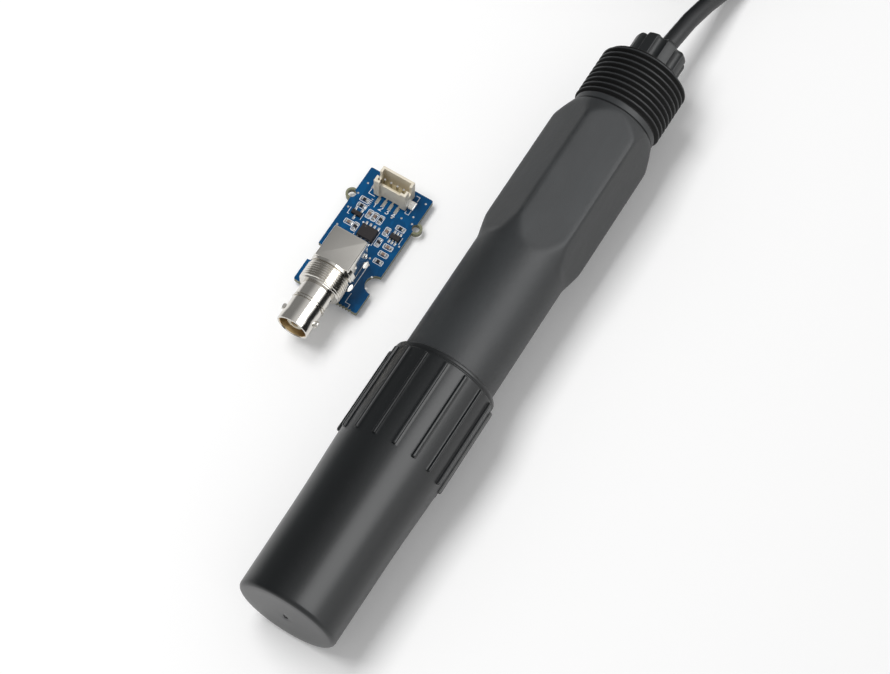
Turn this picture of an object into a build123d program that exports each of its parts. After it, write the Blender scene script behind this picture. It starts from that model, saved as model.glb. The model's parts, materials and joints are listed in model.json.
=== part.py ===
"""Redox sensor kit: an industrial electrode lying in its soaking cap, with its interface board beside it.

Millimetres. +X runs along the electrode from the soaking cap to the cable, +Y points to the board, +Z up.
The origin is on the floor, in the middle of the box round the electrode and the board.
Stations along the electrode are counted from the closed end of the cap.
"""
from build123d import *
from math import cos, pi, radians, sin, tan
import os

os.makedirs("parts", exist_ok=True)

# Soaking cap, a moulded sleeve with grip ribs round its mouth
cap_length = 77.1
cap_end_d = 28.5
cap_waist_d = 28.9
cap_mouth_d = 30.2
cap_waist_at = 30.0
cap_waist_blend = 20.0
cap_rib_blend = 10.0
cap_inside_round = 1.2
cap_floor = 2.6
cap_end_round = 1.3
cap_mouth_round = 0.8
cap_nick_d = 2.2
cap_nick_depth = 0.6
rib_tip_d = 31.8
rib_width = 0.85
rib_length = 26.2
rib_start = 48.9
rib_count = 16
rib_turn = 5.6
cap_nose_room = 1.6
gasket_width = 0.5
gasket_thickness = 1.5
sponge_length = 10.0
sponge_round = 1.0
solution_space = 6.7

# Electrode body, moulded in one with its guard, thread, wrench hexagon and cable thread
nose_d = 22.0
nose_length = 30.4
nose_round = 0.6
front_pocket_d = 17.2
pocket_depth = 17.5
slot_width = 5.0
slot_depth = 8.0
slot_count = 4
thread_major_d = 26.0
thread_root_d = 23.8
thread_pitch = 25.4 / 14
thread_flank_angle = 30
thread_crest_share = 1 / 7
thread_length = 16.0
relief_length = 1.6
shank_d = 26.9
shank_length = 48.0
shank_round = 0.5
flare_length = 7.0
hex_corner_d = 30.35
hex_flat_d = 26.3
hex_length = 35.2
hex_turn = 11.0
hex_runout = 8.0
hex_round = 1.5
back_flare_length = 6.1
neck_d = 24.9
neck_length = 2.4
neck_step = 0.35
rear_thread_length = 17.3
collar_d = 12.6
collar_length = 2.0
chamber_d = 19.0
back_wall = 3.0
gland_bore_d = 12.4
gland_depth = 11.8

# Sensing parts inside the body
glass_d = 12.0
glass_wall = 1.0
glass_tip_wall = 1.5
glass_round = 1.2
tip_recess = 0.9
platinum_d = 5.0
platinum_thickness = 0.4
junction_length = 4.0
junction_round = 0.3
ring_section_d = 2.4
wire_d = 0.8
reference_offset = 7.8
reference_length = 92.0
potting_length = 16.0

# Cable gland and cable
nut_head_d = 15.9
nut_head_length = 9.5
nut_spigot_length = 6.5
nut_flutes = 8
nut_flute_d = 3.4
nut_flute_depth = 0.85
nut_round = 2.2
nut_mouth_round = 0.6
gland_round = 0.4
cable_d = 5.0

# Coil of the put-away cable, and where the plug lies on it
coil_x = 172.0
coil_y = 16.0
coil_layers = 4
coil_outer_turn = 48.15
coil_turns_per_layer = 5.4
plug_x = 140.6
plug_y = 47.9

# Bayonet plug on the far end of the cable
plug_sleeve_d = 14.4
plug_sleeve_length = 15.5
plug_sleeve_bore = 9.8
plug_lip_length = 2.2
plug_shoulder_length = 2.4
plug_neck_d = 8.0
plug_rim_length = 5.6
plug_rim_d = 13.4
plug_rim_slope = 0.6
plug_flutes = 16
plug_flute_d = 2.0
plug_flute_depth = 0.45
plug_flute_length = 8.6
plug_slot_width = 2.2
plug_slot_pitch = 15.0
plug_slot_turn = 0.25
plug_barrel_recess = 4.8
plug_barrel_d = 8.0
plug_barrel_bore = 6.8
plug_body_d = 11.0
plug_body_length = 9.0
plug_back_wall = 1.4
plug_round = 0.4
plug_stem_d = 6.4
plug_stem_length = 9.0
plug_pin_d = 1.35
plug_pin_recess = 5.2
plug_insulator_recess = 9.0
ferrule_wall = 0.35
boot_d = 9.4
boot_tip_d = 6.6
boot_length = 20.0
boot_blend = 6.0

# Interface board
board_length = 40.0
board_width = 20.0
board_thickness = 1.6
board_corner = 0.5
board_station = 104.87
board_aside = 42.45
ear_d = 3.6
ear_out = 0.3
ear_from_end = 9.7
mount_hole_d = 2.3
notch_d = 5.8
notch_from_end = 9.8
pin_stub = 1.4
bite_d = 0.6
bite_count = 5
bite_start = 4.2
bite_pitch = 0.95

# Right-angle bayonet jack
jack_aside = 0.55
jack_back = 5.1
block_length = 10.3
block_width = 10.3
block_height = 12.2
block_corner = 0.4
jack_axis_height = 7.0
jack_collar_d = 12.9
jack_collar_length = 1.6
jack_neck_d = 12.7
jack_neck_core_d = 11.7
jack_neck_length = 6.8
jack_neck_pitch = 25.4 / 28
barrel_d = 9.6
barrel_bore = 8.2
barrel_length = 12.9
barrel_depth = 9.6
barrel_step_d = 9.95
barrel_step_width = 0.7
barrel_round = 0.3
lug_d = 1.9
lug_tip_d = 11.0
lug_from_mouth = 4.2
jack_insulator_d = 4.8
jack_insulator_setback = 1.2
jack_insulator_ledge = 0.6
jack_contact_d = 2.1
jack_contact_bore = 1.4
jack_pin_d = 1.2
jack_pin_back = 1.2
jack_pin_span = 8.1
jack_pin_side = 4.3

# Four-way header
header_from_end = 4.25
header_depth = 5.3
header_width = 10.1
header_height = 8.2
header_wall = 0.75
header_floor = 1.8
header_pitch = 2.0
header_ways = 4
header_pin = 0.5
header_pin_height = 6.3
header_lead_thickness = 0.35
header_key_width = 1.4
header_key_depth = 3.4
lead_reach = 1.7
tab_reach = 1.4
tab_width = 2.2

# Chips and small parts on the board, as distances from its centre
amplifier_place = (1.85, 0.09)
amplifier_size = (3.9, 4.9, 1.45)
amplifier_pitch = 1.27
converter_place = (4.75, -7.0)
converter_size = (1.6, 2.9, 1.1)
converter_pitch = 0.95
transistor_place = (5.55, 5.9)
transistor_size = (1.3, 2.9, 1.0)
chip_standoff = 0.12
chip_lead_thickness = 0.16
chip_lead_reach = 1.05
chip_foot_share = 0.45
amplifier_lead_width = 0.42
small_lead_width = 0.4
chip_draft = 4
small_length = 1.6
small_width = 0.8
small_height = 0.5
terminal_length = 0.32
capacitor_places = [(2.3, 6.3, 90), (7.35, 2.8, 0), (7.35, 1.1, 0), (5.2, -4.05, 0),
                    (-1.17, -6.9, 90), (1.33, -6.9, 90)]
resistor_places = [(2.0, 4.15, 0), (7.35, -0.75, 0), (1.3, -3.85, 0), (-3.76, -6.9, 90),
                   (7.92, -6.9, 90), (8.35, 5.9, 90), (10.4, 6.2, 90)]

# Clearances
face_gap = 0.3
slide_gap = 0.1
running_gap = 0.05
thread_gap = 0.15

# Stations along the electrode
probe_length = (cap_floor + face_gap + sponge_length + solution_space + nose_length + thread_length
                + relief_length + shank_length + flare_length + hex_length + back_flare_length
                + neck_length + rear_thread_length + nut_head_length)
x_cap = -probe_length / 2
x_sponge = x_cap + cap_floor + face_gap
x_guard = x_sponge + sponge_length + solution_space
x_thread = x_guard + nose_length
x_relief = x_thread + thread_length
x_shank = x_relief + relief_length
x_flare = x_shank + shank_length
x_hex = x_flare + flare_length
x_hex_end = x_hex + hex_length
x_neck = x_hex_end + back_flare_length
x_rear_thread = x_neck + neck_length
x_body_end = x_rear_thread + rear_thread_length
x_nut_end = x_body_end + nut_head_length
x_mouth = x_cap + cap_length
x_collar = x_guard + pocket_depth
x_chamber = x_collar + collar_length
x_gland = x_body_end - gland_depth
x_chamber_end = x_gland - back_wall
x_potting = x_chamber_end - potting_length
x_spigot = x_body_end - nut_spigot_length

# Where the electrode and the board stand across the row
half_span = (rib_tip_d / 2 + board_aside + board_width / 2 + ear_out + ear_d / 2) / 2
probe_y = rib_tip_d / 2 - half_span
probe_z = rib_tip_d / 2
board_x = x_cap + board_station
board_y = probe_y + board_aside
board_z = pin_stub
top_z = board_z + board_thickness

probe_plane = Plane(origin=(0, probe_y, probe_z), x_dir=(1, 0, 0), z_dir=(0, 0, 1))
probe_axis = Axis((0, probe_y, probe_z), (1, 0, 0))


def outline(points):
    """Add a closed outline as a face; each point is (along, across, corner radius)."""
    corners = [(along, away) for along, away, rounding in points]
    with BuildLine() as line:
        FilletPolyline(*corners, radius=[rounding for along, away, rounding in points], close=True)
    make_face(line.edges())


def turned(points, plane=probe_plane, axis=probe_axis, mode=Mode.ADD):
    """Turn an outline about an axis, inside the open sub-part."""
    with BuildSketch(plane) as half:
        outline(points)
    revolve(half.sketch, axis=axis, mode=mode)


def across(x, y=probe_y, z=probe_z):
    """A plane square to the long direction, with its own x along +Y and its own y along +Z."""
    return Plane(origin=(x, y, z), x_dir=(0, 1, 0), z_dir=(1, 0, 0))


def thread_ridges(start, length, root, crest, pitch):
    """Outline points of the ridges of a thread, from root to crest and back, for whole pitches only."""
    points = []
    crest_half = pitch * thread_crest_share / 2
    foot_half = crest_half + (crest - root) / 2 * tan(radians(thread_flank_angle))
    turns = int(length / pitch)
    for turn in range(turns):
        middle = start + length / 2 + pitch * (turn - (turns - 1) / 2)
        points += [(middle - foot_half, root / 2, 0), (middle - crest_half, crest / 2, 0),
                   (middle + crest_half, crest / 2, 0), (middle + foot_half, root / 2, 0)]
    return points


# Electrode body: turned blank of the hexagon, its flats, then the shank, nose, threads and hollows
body_front = [(x_guard, 0, 0), (x_guard, nose_d / 2, nose_round), (x_thread, nose_d / 2, 0),
              (x_thread, thread_root_d / 2, 0)]
body_front += thread_ridges(x_thread, thread_length, thread_root_d, thread_major_d, thread_pitch)
body_front += [(x_shank, thread_root_d / 2, 0), (x_shank, shank_d / 2, shank_round),
               (x_flare, shank_d / 2, 0), (x_flare, 0, 0)]
body_hex = [(x_flare, 0, 0), (x_flare, shank_d / 2, 0), (x_hex, hex_corner_d / 2, hex_round),
            (x_hex_end, hex_corner_d / 2, hex_round), (x_neck, neck_d / 2 + neck_step, 0),
            (x_neck, neck_d / 2, 0), (x_rear_thread, neck_d / 2, 0),
            (x_rear_thread, 0, 0)]
body_rear = [(x_rear_thread, 0, 0), (x_rear_thread, thread_root_d / 2, 0)]
body_rear += thread_ridges(x_rear_thread, rear_thread_length, thread_root_d, thread_major_d, thread_pitch)
body_rear += [(x_body_end, thread_root_d / 2, 0), (x_body_end, 0, 0)]
body_hollow = [(x_guard, 0, 0), (x_guard, front_pocket_d / 2, 0), (x_collar, front_pocket_d / 2, 0),
               (x_collar, collar_d / 2, 0), (x_chamber, collar_d / 2, 0), (x_chamber, chamber_d / 2, 0),
               (x_chamber_end, chamber_d / 2, 0), (x_chamber_end, cable_d / 2 + face_gap, 0),
               (x_gland, cable_d / 2 + face_gap, 0), (x_gland, gland_bore_d / 2, 0),
               (x_body_end, gland_bore_d / 2, 0), (x_body_end, 0, 0)]
flat_end = x_neck + neck_length / 2
flat_start = x_flare + (2 * hex_runout * (shank_d - hex_flat_d) / 2) ** 0.5
with BuildPart() as probe_body:
    turned(body_hex)
    for side in range(6):
        angle = radians(hex_turn + 60 * side)
        flat_plane = Plane(origin=(0, probe_y, probe_z), x_dir=(1, 0, 0), z_dir=(0, -cos(angle), -sin(angle)))
        with BuildSketch(flat_plane):
            with BuildLine():
                flat_edge = Line((flat_start, hex_flat_d / 2), (flat_end, hex_flat_d / 2))
                Polyline(flat_edge @ 1, (flat_end, hex_corner_d), (flat_start - hex_runout, hex_corner_d),
                         (flat_start - hex_runout, hex_flat_d / 2 + hex_runout))
                RadiusArc((flat_start - hex_runout, hex_flat_d / 2 + hex_runout), flat_edge @ 0, -hex_runout)
            make_face()
        extrude(amount=hex_flat_d / 2, both=True, mode=Mode.SUBTRACT)
    turned(body_front)
    turned(body_rear)
    turned(body_hollow, mode=Mode.SUBTRACT)
    with BuildSketch(across(x_guard)):
        with PolarLocations(nose_d / 2, slot_count):
            Rectangle(nose_d / 2, slot_width)
    extrude(amount=slot_depth, mode=Mode.SUBTRACT)
probe_body.part.label = "probe_body"
export_step(probe_body.part, "parts/probe_body.step")

# Glass tube with the platinum disc on its closed tip
x_glass = x_guard + tip_recess + platinum_thickness
wire_fit = wire_d / 2 + running_gap
glass_bore = glass_d / 2 - glass_wall
with BuildPart() as glass_tube:
    turned([(x_glass, wire_fit, 0), (x_glass, glass_d / 2, glass_round), (x_potting, glass_d / 2, 0),
            (x_potting, glass_bore, 0), (x_glass + glass_tip_wall, glass_bore, 0),
            (x_glass + glass_tip_wall, wire_fit, 0)])
glass_tube.part.label = "glass_tube"
export_step(glass_tube.part, "parts/glass_tube.step")

with BuildPart() as platinum_disc:
    with BuildSketch(across(x_guard + tip_recess)):
        Circle(platinum_d / 2)
    extrude(amount=platinum_thickness)
platinum_disc.part.label = "platinum_disc"
export_step(platinum_disc.part, "parts/platinum_disc.step")

with BuildPart() as platinum_lead:
    with BuildSketch(across(x_glass)):
        Circle(wire_d / 2)
    extrude(amount=x_potting - x_glass)
platinum_lead.part.label = "platinum_lead"
export_step(platinum_lead.part, "parts/platinum_lead.step")

with BuildPart() as reference_wire:
    with BuildSketch(across(x_potting - reference_length)):
        with Locations((reference_offset, 0)):
            Circle(wire_d / 2)
    extrude(amount=reference_length)
reference_wire.part.label = "reference_wire"
export_step(reference_wire.part, "parts/reference_wire.step")

# Seal ring against the collar, then the porous junction in front of it
x_ring = x_collar - ring_section_d / 2 - running_gap
with BuildPart() as tip_ring:
    with BuildSketch(probe_plane):
        with Locations((x_ring, (glass_d + front_pocket_d) / 4)):
            Circle(ring_section_d / 2)
    revolve(axis=probe_axis)
tip_ring.part.label = "tip_ring"
export_step(tip_ring.part, "parts/tip_ring.step")

x_junction_end = x_ring - ring_section_d / 2 - running_gap
x_junction = x_junction_end - junction_length
junction_bore = glass_d / 2 + running_gap
junction_rim = front_pocket_d / 2 - running_gap
with BuildPart() as reference_junction:
    turned([(x_junction, junction_bore, 0), (x_junction, junction_rim, junction_round),
            (x_junction_end, junction_rim, 0), (x_junction_end, junction_bore, 0)])
reference_junction.part.label = "reference_junction"
export_step(reference_junction.part, "parts/reference_junction.step")

with BuildPart() as potting_plug:
    with BuildSketch(across(x_potting)):
        Circle(chamber_d / 2 - running_gap)
    extrude(amount=potting_length)
potting_plug.part.label = "potting_plug"
export_step(potting_plug.part, "parts/potting_plug.step")

# Cable gland: rubber seal, then the fluted nut that squeezes it
with BuildPart() as gland_seal:
    turned([(x_gland, cable_d / 2 + running_gap, 0), (x_gland, gland_bore_d / 2 - slide_gap, gland_round),
            (x_spigot, gland_bore_d / 2 - slide_gap, gland_round), (x_spigot, cable_d / 2 + running_gap, 0)])
gland_seal.part.label = "gland_seal"
export_step(gland_seal.part, "parts/gland_seal.step")

with BuildPart() as gland_nut:
    turned([(x_spigot, cable_d / 2 + face_gap, 0), (x_spigot, gland_bore_d / 2 - slide_gap, gland_round),
            (x_body_end, gland_bore_d / 2 - slide_gap, 0), (x_body_end, nut_head_d / 2, gland_round),
            (x_nut_end, nut_head_d / 2, nut_round), (x_nut_end, cable_d / 2 + face_gap, nut_mouth_round)])
    with BuildSketch(across(x_body_end)):
        with PolarLocations((nut_head_d + nut_flute_d) / 2 - nut_flute_depth, nut_flutes):
            Circle(nut_flute_d / 2)
    extrude(amount=nut_head_length, mode=Mode.SUBTRACT)
gland_nut.part.label = "gland_nut"
export_step(gland_nut.part, "parts/gland_nut.step")

# Soaking cap: drafted sleeve, its bores cleared from the body's own sizes, and the grip ribs
nose_bore = nose_d / 2 + cap_nose_room
thread_bore = thread_major_d / 2 + thread_gap
mouth_bore = shank_d / 2 + face_gap
gasket_seat = mouth_bore + gasket_width
cap_outer = [(x_cap, 0, 0), (x_cap, cap_end_d / 2, cap_end_round),
             (x_cap + cap_waist_at, cap_waist_d / 2, cap_waist_blend),
             (x_cap + rib_start, cap_mouth_d / 2, cap_rib_blend), (x_mouth, cap_mouth_d / 2, cap_mouth_round)]
cap_inner = [(x_mouth, gasket_seat, 0), (x_mouth - gasket_thickness, gasket_seat, 0),
             (x_mouth - gasket_thickness, mouth_bore, 0), (x_shank - face_gap, mouth_bore, 0),
             (x_shank - face_gap, thread_bore, 0), (x_thread - face_gap, thread_bore, 0),
             (x_thread - 2 * thread_pitch, nose_bore, 0), (x_cap + cap_floor, nose_bore, cap_inside_round),
             (x_cap + cap_floor, 0, 0)]
with BuildPart() as soaking_cap:
    turned(cap_outer + cap_inner)
    with BuildSketch(across(x_cap)):
        Circle(cap_nick_d / 2)
    extrude(amount=cap_nick_depth, mode=Mode.SUBTRACT)
    with BuildSketch(across(x_cap + rib_start)):
        rib_foot = cap_mouth_d / 2 - rib_width / 2
        with PolarLocations((rib_tip_d / 2 + rib_foot) / 2, rib_count, start_angle=90 + rib_turn):
            Rectangle(rib_tip_d / 2 - rib_foot, rib_width)
    extrude(amount=rib_length)
soaking_cap.part.label = "soaking_cap"
export_step(soaking_cap.part, "parts/soaking_cap.step")

with BuildPart() as cap_gasket:
    turned([(x_mouth - gasket_thickness, mouth_bore, 0), (x_mouth - gasket_thickness, gasket_seat, 0),
            (x_mouth, gasket_seat, 0), (x_mouth, mouth_bore, 0)])
cap_gasket.part.label = "cap_gasket"
export_step(cap_gasket.part, "parts/cap_gasket.step")

with BuildPart() as soaking_sponge:
    turned([(x_sponge, 0, 0), (x_sponge, nose_bore - face_gap, sponge_round),
            (x_sponge + sponge_length, nose_bore - face_gap, sponge_round), (x_sponge + sponge_length, 0, 0)])
soaking_sponge.part.label = "soaking_sponge"
export_step(soaking_sponge.part, "parts/soaking_sponge.step")

# Bare board: two ears with holes, two notches, breakaway bites, holes for the jack's pins
jack_y = board_y + jack_aside
jack_z = top_z + jack_axis_height
x_block_end = board_x - jack_back
x_block = x_block_end - block_length
jack_pins = [(x_block_end - jack_pin_back - jack_pin_span * row, jack_y + jack_pin_side * side)
             for row in (0, 1) for side in (-1, 1)]
contact_pin = (x_block_end - block_length / 2, jack_y)
ear_x = board_x + board_length / 2 - ear_from_end
notch_x = board_x - board_length / 2 + notch_from_end
with BuildPart() as circuit_board:
    with BuildSketch(Plane.XY.offset(board_z)):
        with Locations((board_x, board_y)):
            RectangleRounded(board_length, board_width, board_corner)
        with Locations(*[(ear_x, board_y + side * (board_width / 2 + ear_out)) for side in (-1, 1)]):
            Circle(ear_d / 2)
            Circle(mount_hole_d / 2, mode=Mode.SUBTRACT)
        with Locations(*[(notch_x, board_y + side * board_width / 2) for side in (-1, 1)]):
            Circle(notch_d / 2, mode=Mode.SUBTRACT)
        with Locations(*[(board_x - board_length / 2, board_y - bite_start - bite_pitch * bite)
                         for bite in range(bite_count)]):
            Circle(bite_d / 2, mode=Mode.SUBTRACT)
        with Locations(*jack_pins, contact_pin):
            Circle(jack_pin_d / 2 + running_gap, mode=Mode.SUBTRACT)
    extrude(amount=board_thickness)
circuit_board.part.label = "circuit_board"
export_step(circuit_board.part, "parts/circuit_board.step")

# Jack shell: square block, round collar, threaded neck and bayonet barrel, hollow from the mouth
x_neck_end = x_block - jack_neck_length
x_jack = x_neck_end - barrel_length
x_lug = x_jack + lug_from_mouth
x_step = x_jack + 2 * lug_from_mouth
insulator_base = jack_insulator_d / 2 + jack_insulator_ledge
jack_plane = Plane(origin=(0, jack_y, jack_z), x_dir=(1, 0, 0), z_dir=(0, 0, 1))
jack_axis = Axis((0, jack_y, jack_z), (1, 0, 0))
jack_front = [(x_jack, 0, 0), (x_jack, barrel_d / 2, barrel_round), (x_step, barrel_d / 2, 0),
              (x_step, barrel_step_d / 2, 0), (x_step + barrel_step_width, barrel_step_d / 2, 0),
              (x_step + barrel_step_width, barrel_d / 2, 0), (x_neck_end, barrel_d / 2, 0),
              (x_neck_end, jack_neck_core_d / 2, 0)]
jack_front += thread_ridges(x_neck_end, jack_neck_length, jack_neck_core_d, jack_neck_d, jack_neck_pitch)
jack_front += [(x_block, jack_neck_core_d / 2, 0), (x_block, 0, 0)]
with BuildPart() as jack_shell:
    with BuildSketch(across(x_block, jack_y, jack_z)):
        Circle(jack_collar_d / 2)
        Rectangle(jack_collar_d, 2 * (block_height - jack_axis_height), mode=Mode.INTERSECT)
    extrude(amount=jack_collar_length)
    with BuildSketch(across(x_block, jack_y, top_z + block_height / 2)):
        RectangleRounded(block_width, block_height, block_corner)
    extrude(amount=block_length)
    turned(jack_front, jack_plane, jack_axis)
    with BuildSketch(Plane(origin=(x_lug, jack_y, jack_z), x_dir=(1, 0, 0), z_dir=(0, 1, 0))):
        Circle(lug_d / 2)
    extrude(amount=lug_tip_d / 2, both=True)
    turned([(x_jack, 0, 0), (x_jack, barrel_bore / 2, 0), (x_jack + barrel_depth, barrel_bore / 2, 0),
            (x_jack + barrel_depth, insulator_base, 0), (contact_pin[0] + insulator_base, insulator_base, 0),
            (contact_pin[0] + insulator_base, 0, 0)], jack_plane, jack_axis, Mode.SUBTRACT)
    with BuildSketch(Plane.XY.offset(top_z)):
        with Locations(contact_pin):
            Circle(insulator_base)
    extrude(amount=jack_axis_height, mode=Mode.SUBTRACT)
jack_shell.part.label = "jack_shell"
export_step(jack_shell.part, "parts/jack_shell.step")

# Inside the jack: white insulator, then the bored contact whose tail turns down through the board
x_insulator = x_jack + jack_insulator_setback
contact_fit = jack_contact_d / 2 + running_gap
x_insulator_back = contact_pin[0] - insulator_base
with BuildPart() as jack_insulator:
    turned([(x_insulator, contact_fit, 0), (x_insulator, jack_insulator_d / 2, barrel_round),
            (x_jack + barrel_depth, jack_insulator_d / 2, 0),
            (x_jack + barrel_depth, insulator_base - running_gap, 0),
            (x_insulator_back, insulator_base - running_gap, 0), (x_insulator_back, contact_fit, 0)],
           jack_plane, jack_axis)
jack_insulator.part.label = "jack_insulator"
export_step(jack_insulator.part, "parts/jack_insulator.step")

x_contact = x_insulator + face_gap
x_contact_end = contact_pin[0] + jack_contact_d / 2
with BuildPart() as jack_contact:
    turned([(x_contact, jack_contact_bore / 2, 0), (x_contact, jack_contact_d / 2, 0),
            (x_contact_end, jack_contact_d / 2, 0), (x_contact_end, 0, 0),
            (x_jack + barrel_depth, 0, 0), (x_jack + barrel_depth, jack_contact_bore / 2, 0)],
           jack_plane, jack_axis)
    with BuildSketch(Plane.XY):
        with Locations(contact_pin):
            Circle(jack_pin_d / 2)
    extrude(amount=jack_z)
jack_contact.part.label = "jack_contact"
export_step(jack_contact.part, "parts/jack_contact.step")

with BuildPart() as jack_posts:
    with BuildSketch(Plane.XY):
        with Locations(*jack_pins):
            Circle(jack_pin_d / 2)
    extrude(amount=top_z)
jack_posts.part.label = "jack_posts"
export_step(jack_posts.part, "parts/jack_posts.step")

# Header: ivory housing on its leads and solder tabs, open upwards over four square pins
header_x = board_x + board_length / 2 - header_from_end
header_foot = top_z + header_lead_thickness
header_top = header_foot + header_height
header_inner = (header_depth - 2 * header_wall, header_width - 2 * header_wall)
pin_rows = [board_y + header_pitch * (way - (header_ways - 1) / 2) for way in range(header_ways)]
with BuildPart() as header_housing:
    with BuildSketch(Plane.XY.offset(header_foot)):
        with Locations((header_x, board_y)):
            Rectangle(header_depth, header_width)
    extrude(amount=header_height)
    with BuildSketch(Plane.XY.offset(header_foot + header_floor)):
        with Locations((header_x, board_y)):
            Rectangle(*header_inner)
    extrude(amount=header_height - header_floor, mode=Mode.SUBTRACT)
    with BuildSketch(Plane.XY.offset(header_top - header_key_depth)):
        with Locations(*[(header_x - header_depth / 2, board_y + side * header_inner[1] / 3)
                         for side in (-1, 1)]):
            Rectangle(4 * header_wall, header_key_width)
        with Locations(*[(header_x, board_y + side * header_width / 2) for side in (-1, 1)]):
            Rectangle(header_key_width, 4 * header_wall)
    extrude(amount=header_key_depth, mode=Mode.SUBTRACT)
    with BuildSketch(Plane.XY.offset(header_foot)):
        with Locations(*[(header_x, row) for row in pin_rows]):
            Rectangle(header_pin + 2 * running_gap, header_pin + 2 * running_gap)
    extrude(amount=header_floor, mode=Mode.SUBTRACT)
header_housing.part.label = "header_housing"
export_step(header_housing.part, "parts/header_housing.step")

lead_length = header_depth / 2 + lead_reach + header_pin / 2
with BuildPart() as header_pins:
    with BuildSketch(Plane.XY.offset(top_z)):
        with Locations(*[(header_x + (header_pin - lead_length) / 2, row) for row in pin_rows]):
            Rectangle(lead_length, header_pin)
    extrude(amount=header_lead_thickness)
    with BuildSketch(Plane.XY.offset(top_z)):
        with Locations(*[(header_x, row) for row in pin_rows]):
            Rectangle(header_pin, header_pin)
    extrude(amount=header_lead_thickness + header_pin_height)
header_pins.part.label = "header_pins"
export_step(header_pins.part, "parts/header_pins.step")

with BuildPart() as header_tabs:
    with BuildSketch(Plane.XY.offset(top_z)):
        with Locations(*[(header_x, board_y + side * header_width / 2) for side in (-1, 1)]):
            Rectangle(tab_width, tab_reach * 2)
    extrude(amount=header_lead_thickness)
header_tabs.part.label = "header_tabs"
export_step(header_tabs.part, "parts/header_tabs.step")


def chip_body(place, size):
    """Moulded chip package standing on its leads, inside the open sub-part."""
    with BuildSketch(Plane.XY.offset(top_z + chip_standoff)) as foot:
        with Locations((board_x + place[0], board_y + place[1])):
            Rectangle(size[0], size[1])
    extrude(foot.sketch, amount=size[2] - chip_standoff, taper=chip_draft)


def gull_leads(place, size, rows, width):
    """Bent leads from the package's sides down to the board; each row is (side, distance along it)."""
    middle = size[2] / 2
    side_x = size[0] / 2 - (middle - chip_standoff) * tan(radians(chip_draft))
    foot = chip_lead_reach * chip_foot_share
    for side, along in rows:
        lead_plane = Plane(origin=(board_x + place[0], board_y + place[1] + along, top_z), x_dir=(side, 0, 0),
                           z_dir=(0, -side, 0))
        with BuildSketch(lead_plane) as lead:
            outline([(side_x, middle, 0), (side_x + chip_lead_thickness * 1.5, middle, 0),
                     (side_x + chip_lead_reach - foot, chip_lead_thickness, 0),
                     (side_x + chip_lead_reach, chip_lead_thickness, 0), (side_x + chip_lead_reach, 0, 0),
                     (side_x + chip_lead_reach - foot - chip_lead_thickness, 0, 0),
                     (side_x + chip_lead_thickness, middle - chip_lead_thickness, 0),
                     (side_x, middle - chip_lead_thickness, 0)])
        extrude(lead.sketch, amount=width / 2, both=True)


with BuildPart() as amplifier_chip:
    chip_body(amplifier_place, amplifier_size)
amplifier_chip.part.label = "amplifier_chip"
export_step(amplifier_chip.part, "parts/amplifier_chip.step")

with BuildPart() as amplifier_leads:
    gull_leads(amplifier_place, amplifier_size, [(side, amplifier_pitch * (row - 1.5)) for side in (-1, 1)
                                                 for row in range(4)], amplifier_lead_width)
amplifier_leads.part.label = "amplifier_leads"
export_step(amplifier_leads.part, "parts/amplifier_leads.step")

with BuildPart() as converter_chip:
    chip_body(converter_place, converter_size)
converter_chip.part.label = "converter_chip"
export_step(converter_chip.part, "parts/converter_chip.step")

with BuildPart() as converter_leads:
    gull_leads(converter_place, converter_size, [(side, converter_pitch * (row - 1)) for side in (-1, 1)
                                                 for row in range(3)], small_lead_width)
converter_leads.part.label = "converter_leads"
export_step(converter_leads.part, "parts/converter_leads.step")

with BuildPart() as transistor:
    chip_body(transistor_place, transistor_size)
transistor.part.label = "transistor"
export_step(transistor.part, "parts/transistor.step")

with BuildPart() as transistor_leads:
    gull_leads(transistor_place, transistor_size, [(-1, 0), (1, -converter_pitch), (1, converter_pitch)],
               small_lead_width)
transistor_leads.part.label = "transistor_leads"
export_step(transistor_leads.part, "parts/transistor_leads.step")


def small_parts(places, length, height, offsets):
    """Blocks of two-ended small parts; offsets are the blocks' distances along each part."""
    for place_x, place_y, turn in places:
        with BuildSketch(Plane.XY.offset(top_z)) as footprint:
            with Locations(Location((board_x + place_x, board_y + place_y), turn)):
                with Locations(*[(offset, 0) for offset in offsets]):
                    Rectangle(length, small_width)
        extrude(footprint.sketch, amount=height)


with BuildPart() as capacitor_bodies:
    small_parts(capacitor_places, small_length - 2 * terminal_length, small_height, [0])
capacitor_bodies.part.label = "capacitor_bodies"
export_step(capacitor_bodies.part, "parts/capacitor_bodies.step")

with BuildPart() as resistor_bodies:
    small_parts(resistor_places, small_length - 2 * terminal_length, small_height, [0])
resistor_bodies.part.label = "resistor_bodies"
export_step(resistor_bodies.part, "parts/resistor_bodies.step")

with BuildPart() as chip_terminals:
    terminal_offset = (small_length - terminal_length) / 2
    small_parts(capacitor_places + resistor_places, terminal_length, small_height,
                [-terminal_offset, terminal_offset])
chip_terminals.part.label = "chip_terminals"
export_step(chip_terminals.part, "parts/chip_terminals.step")

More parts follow.
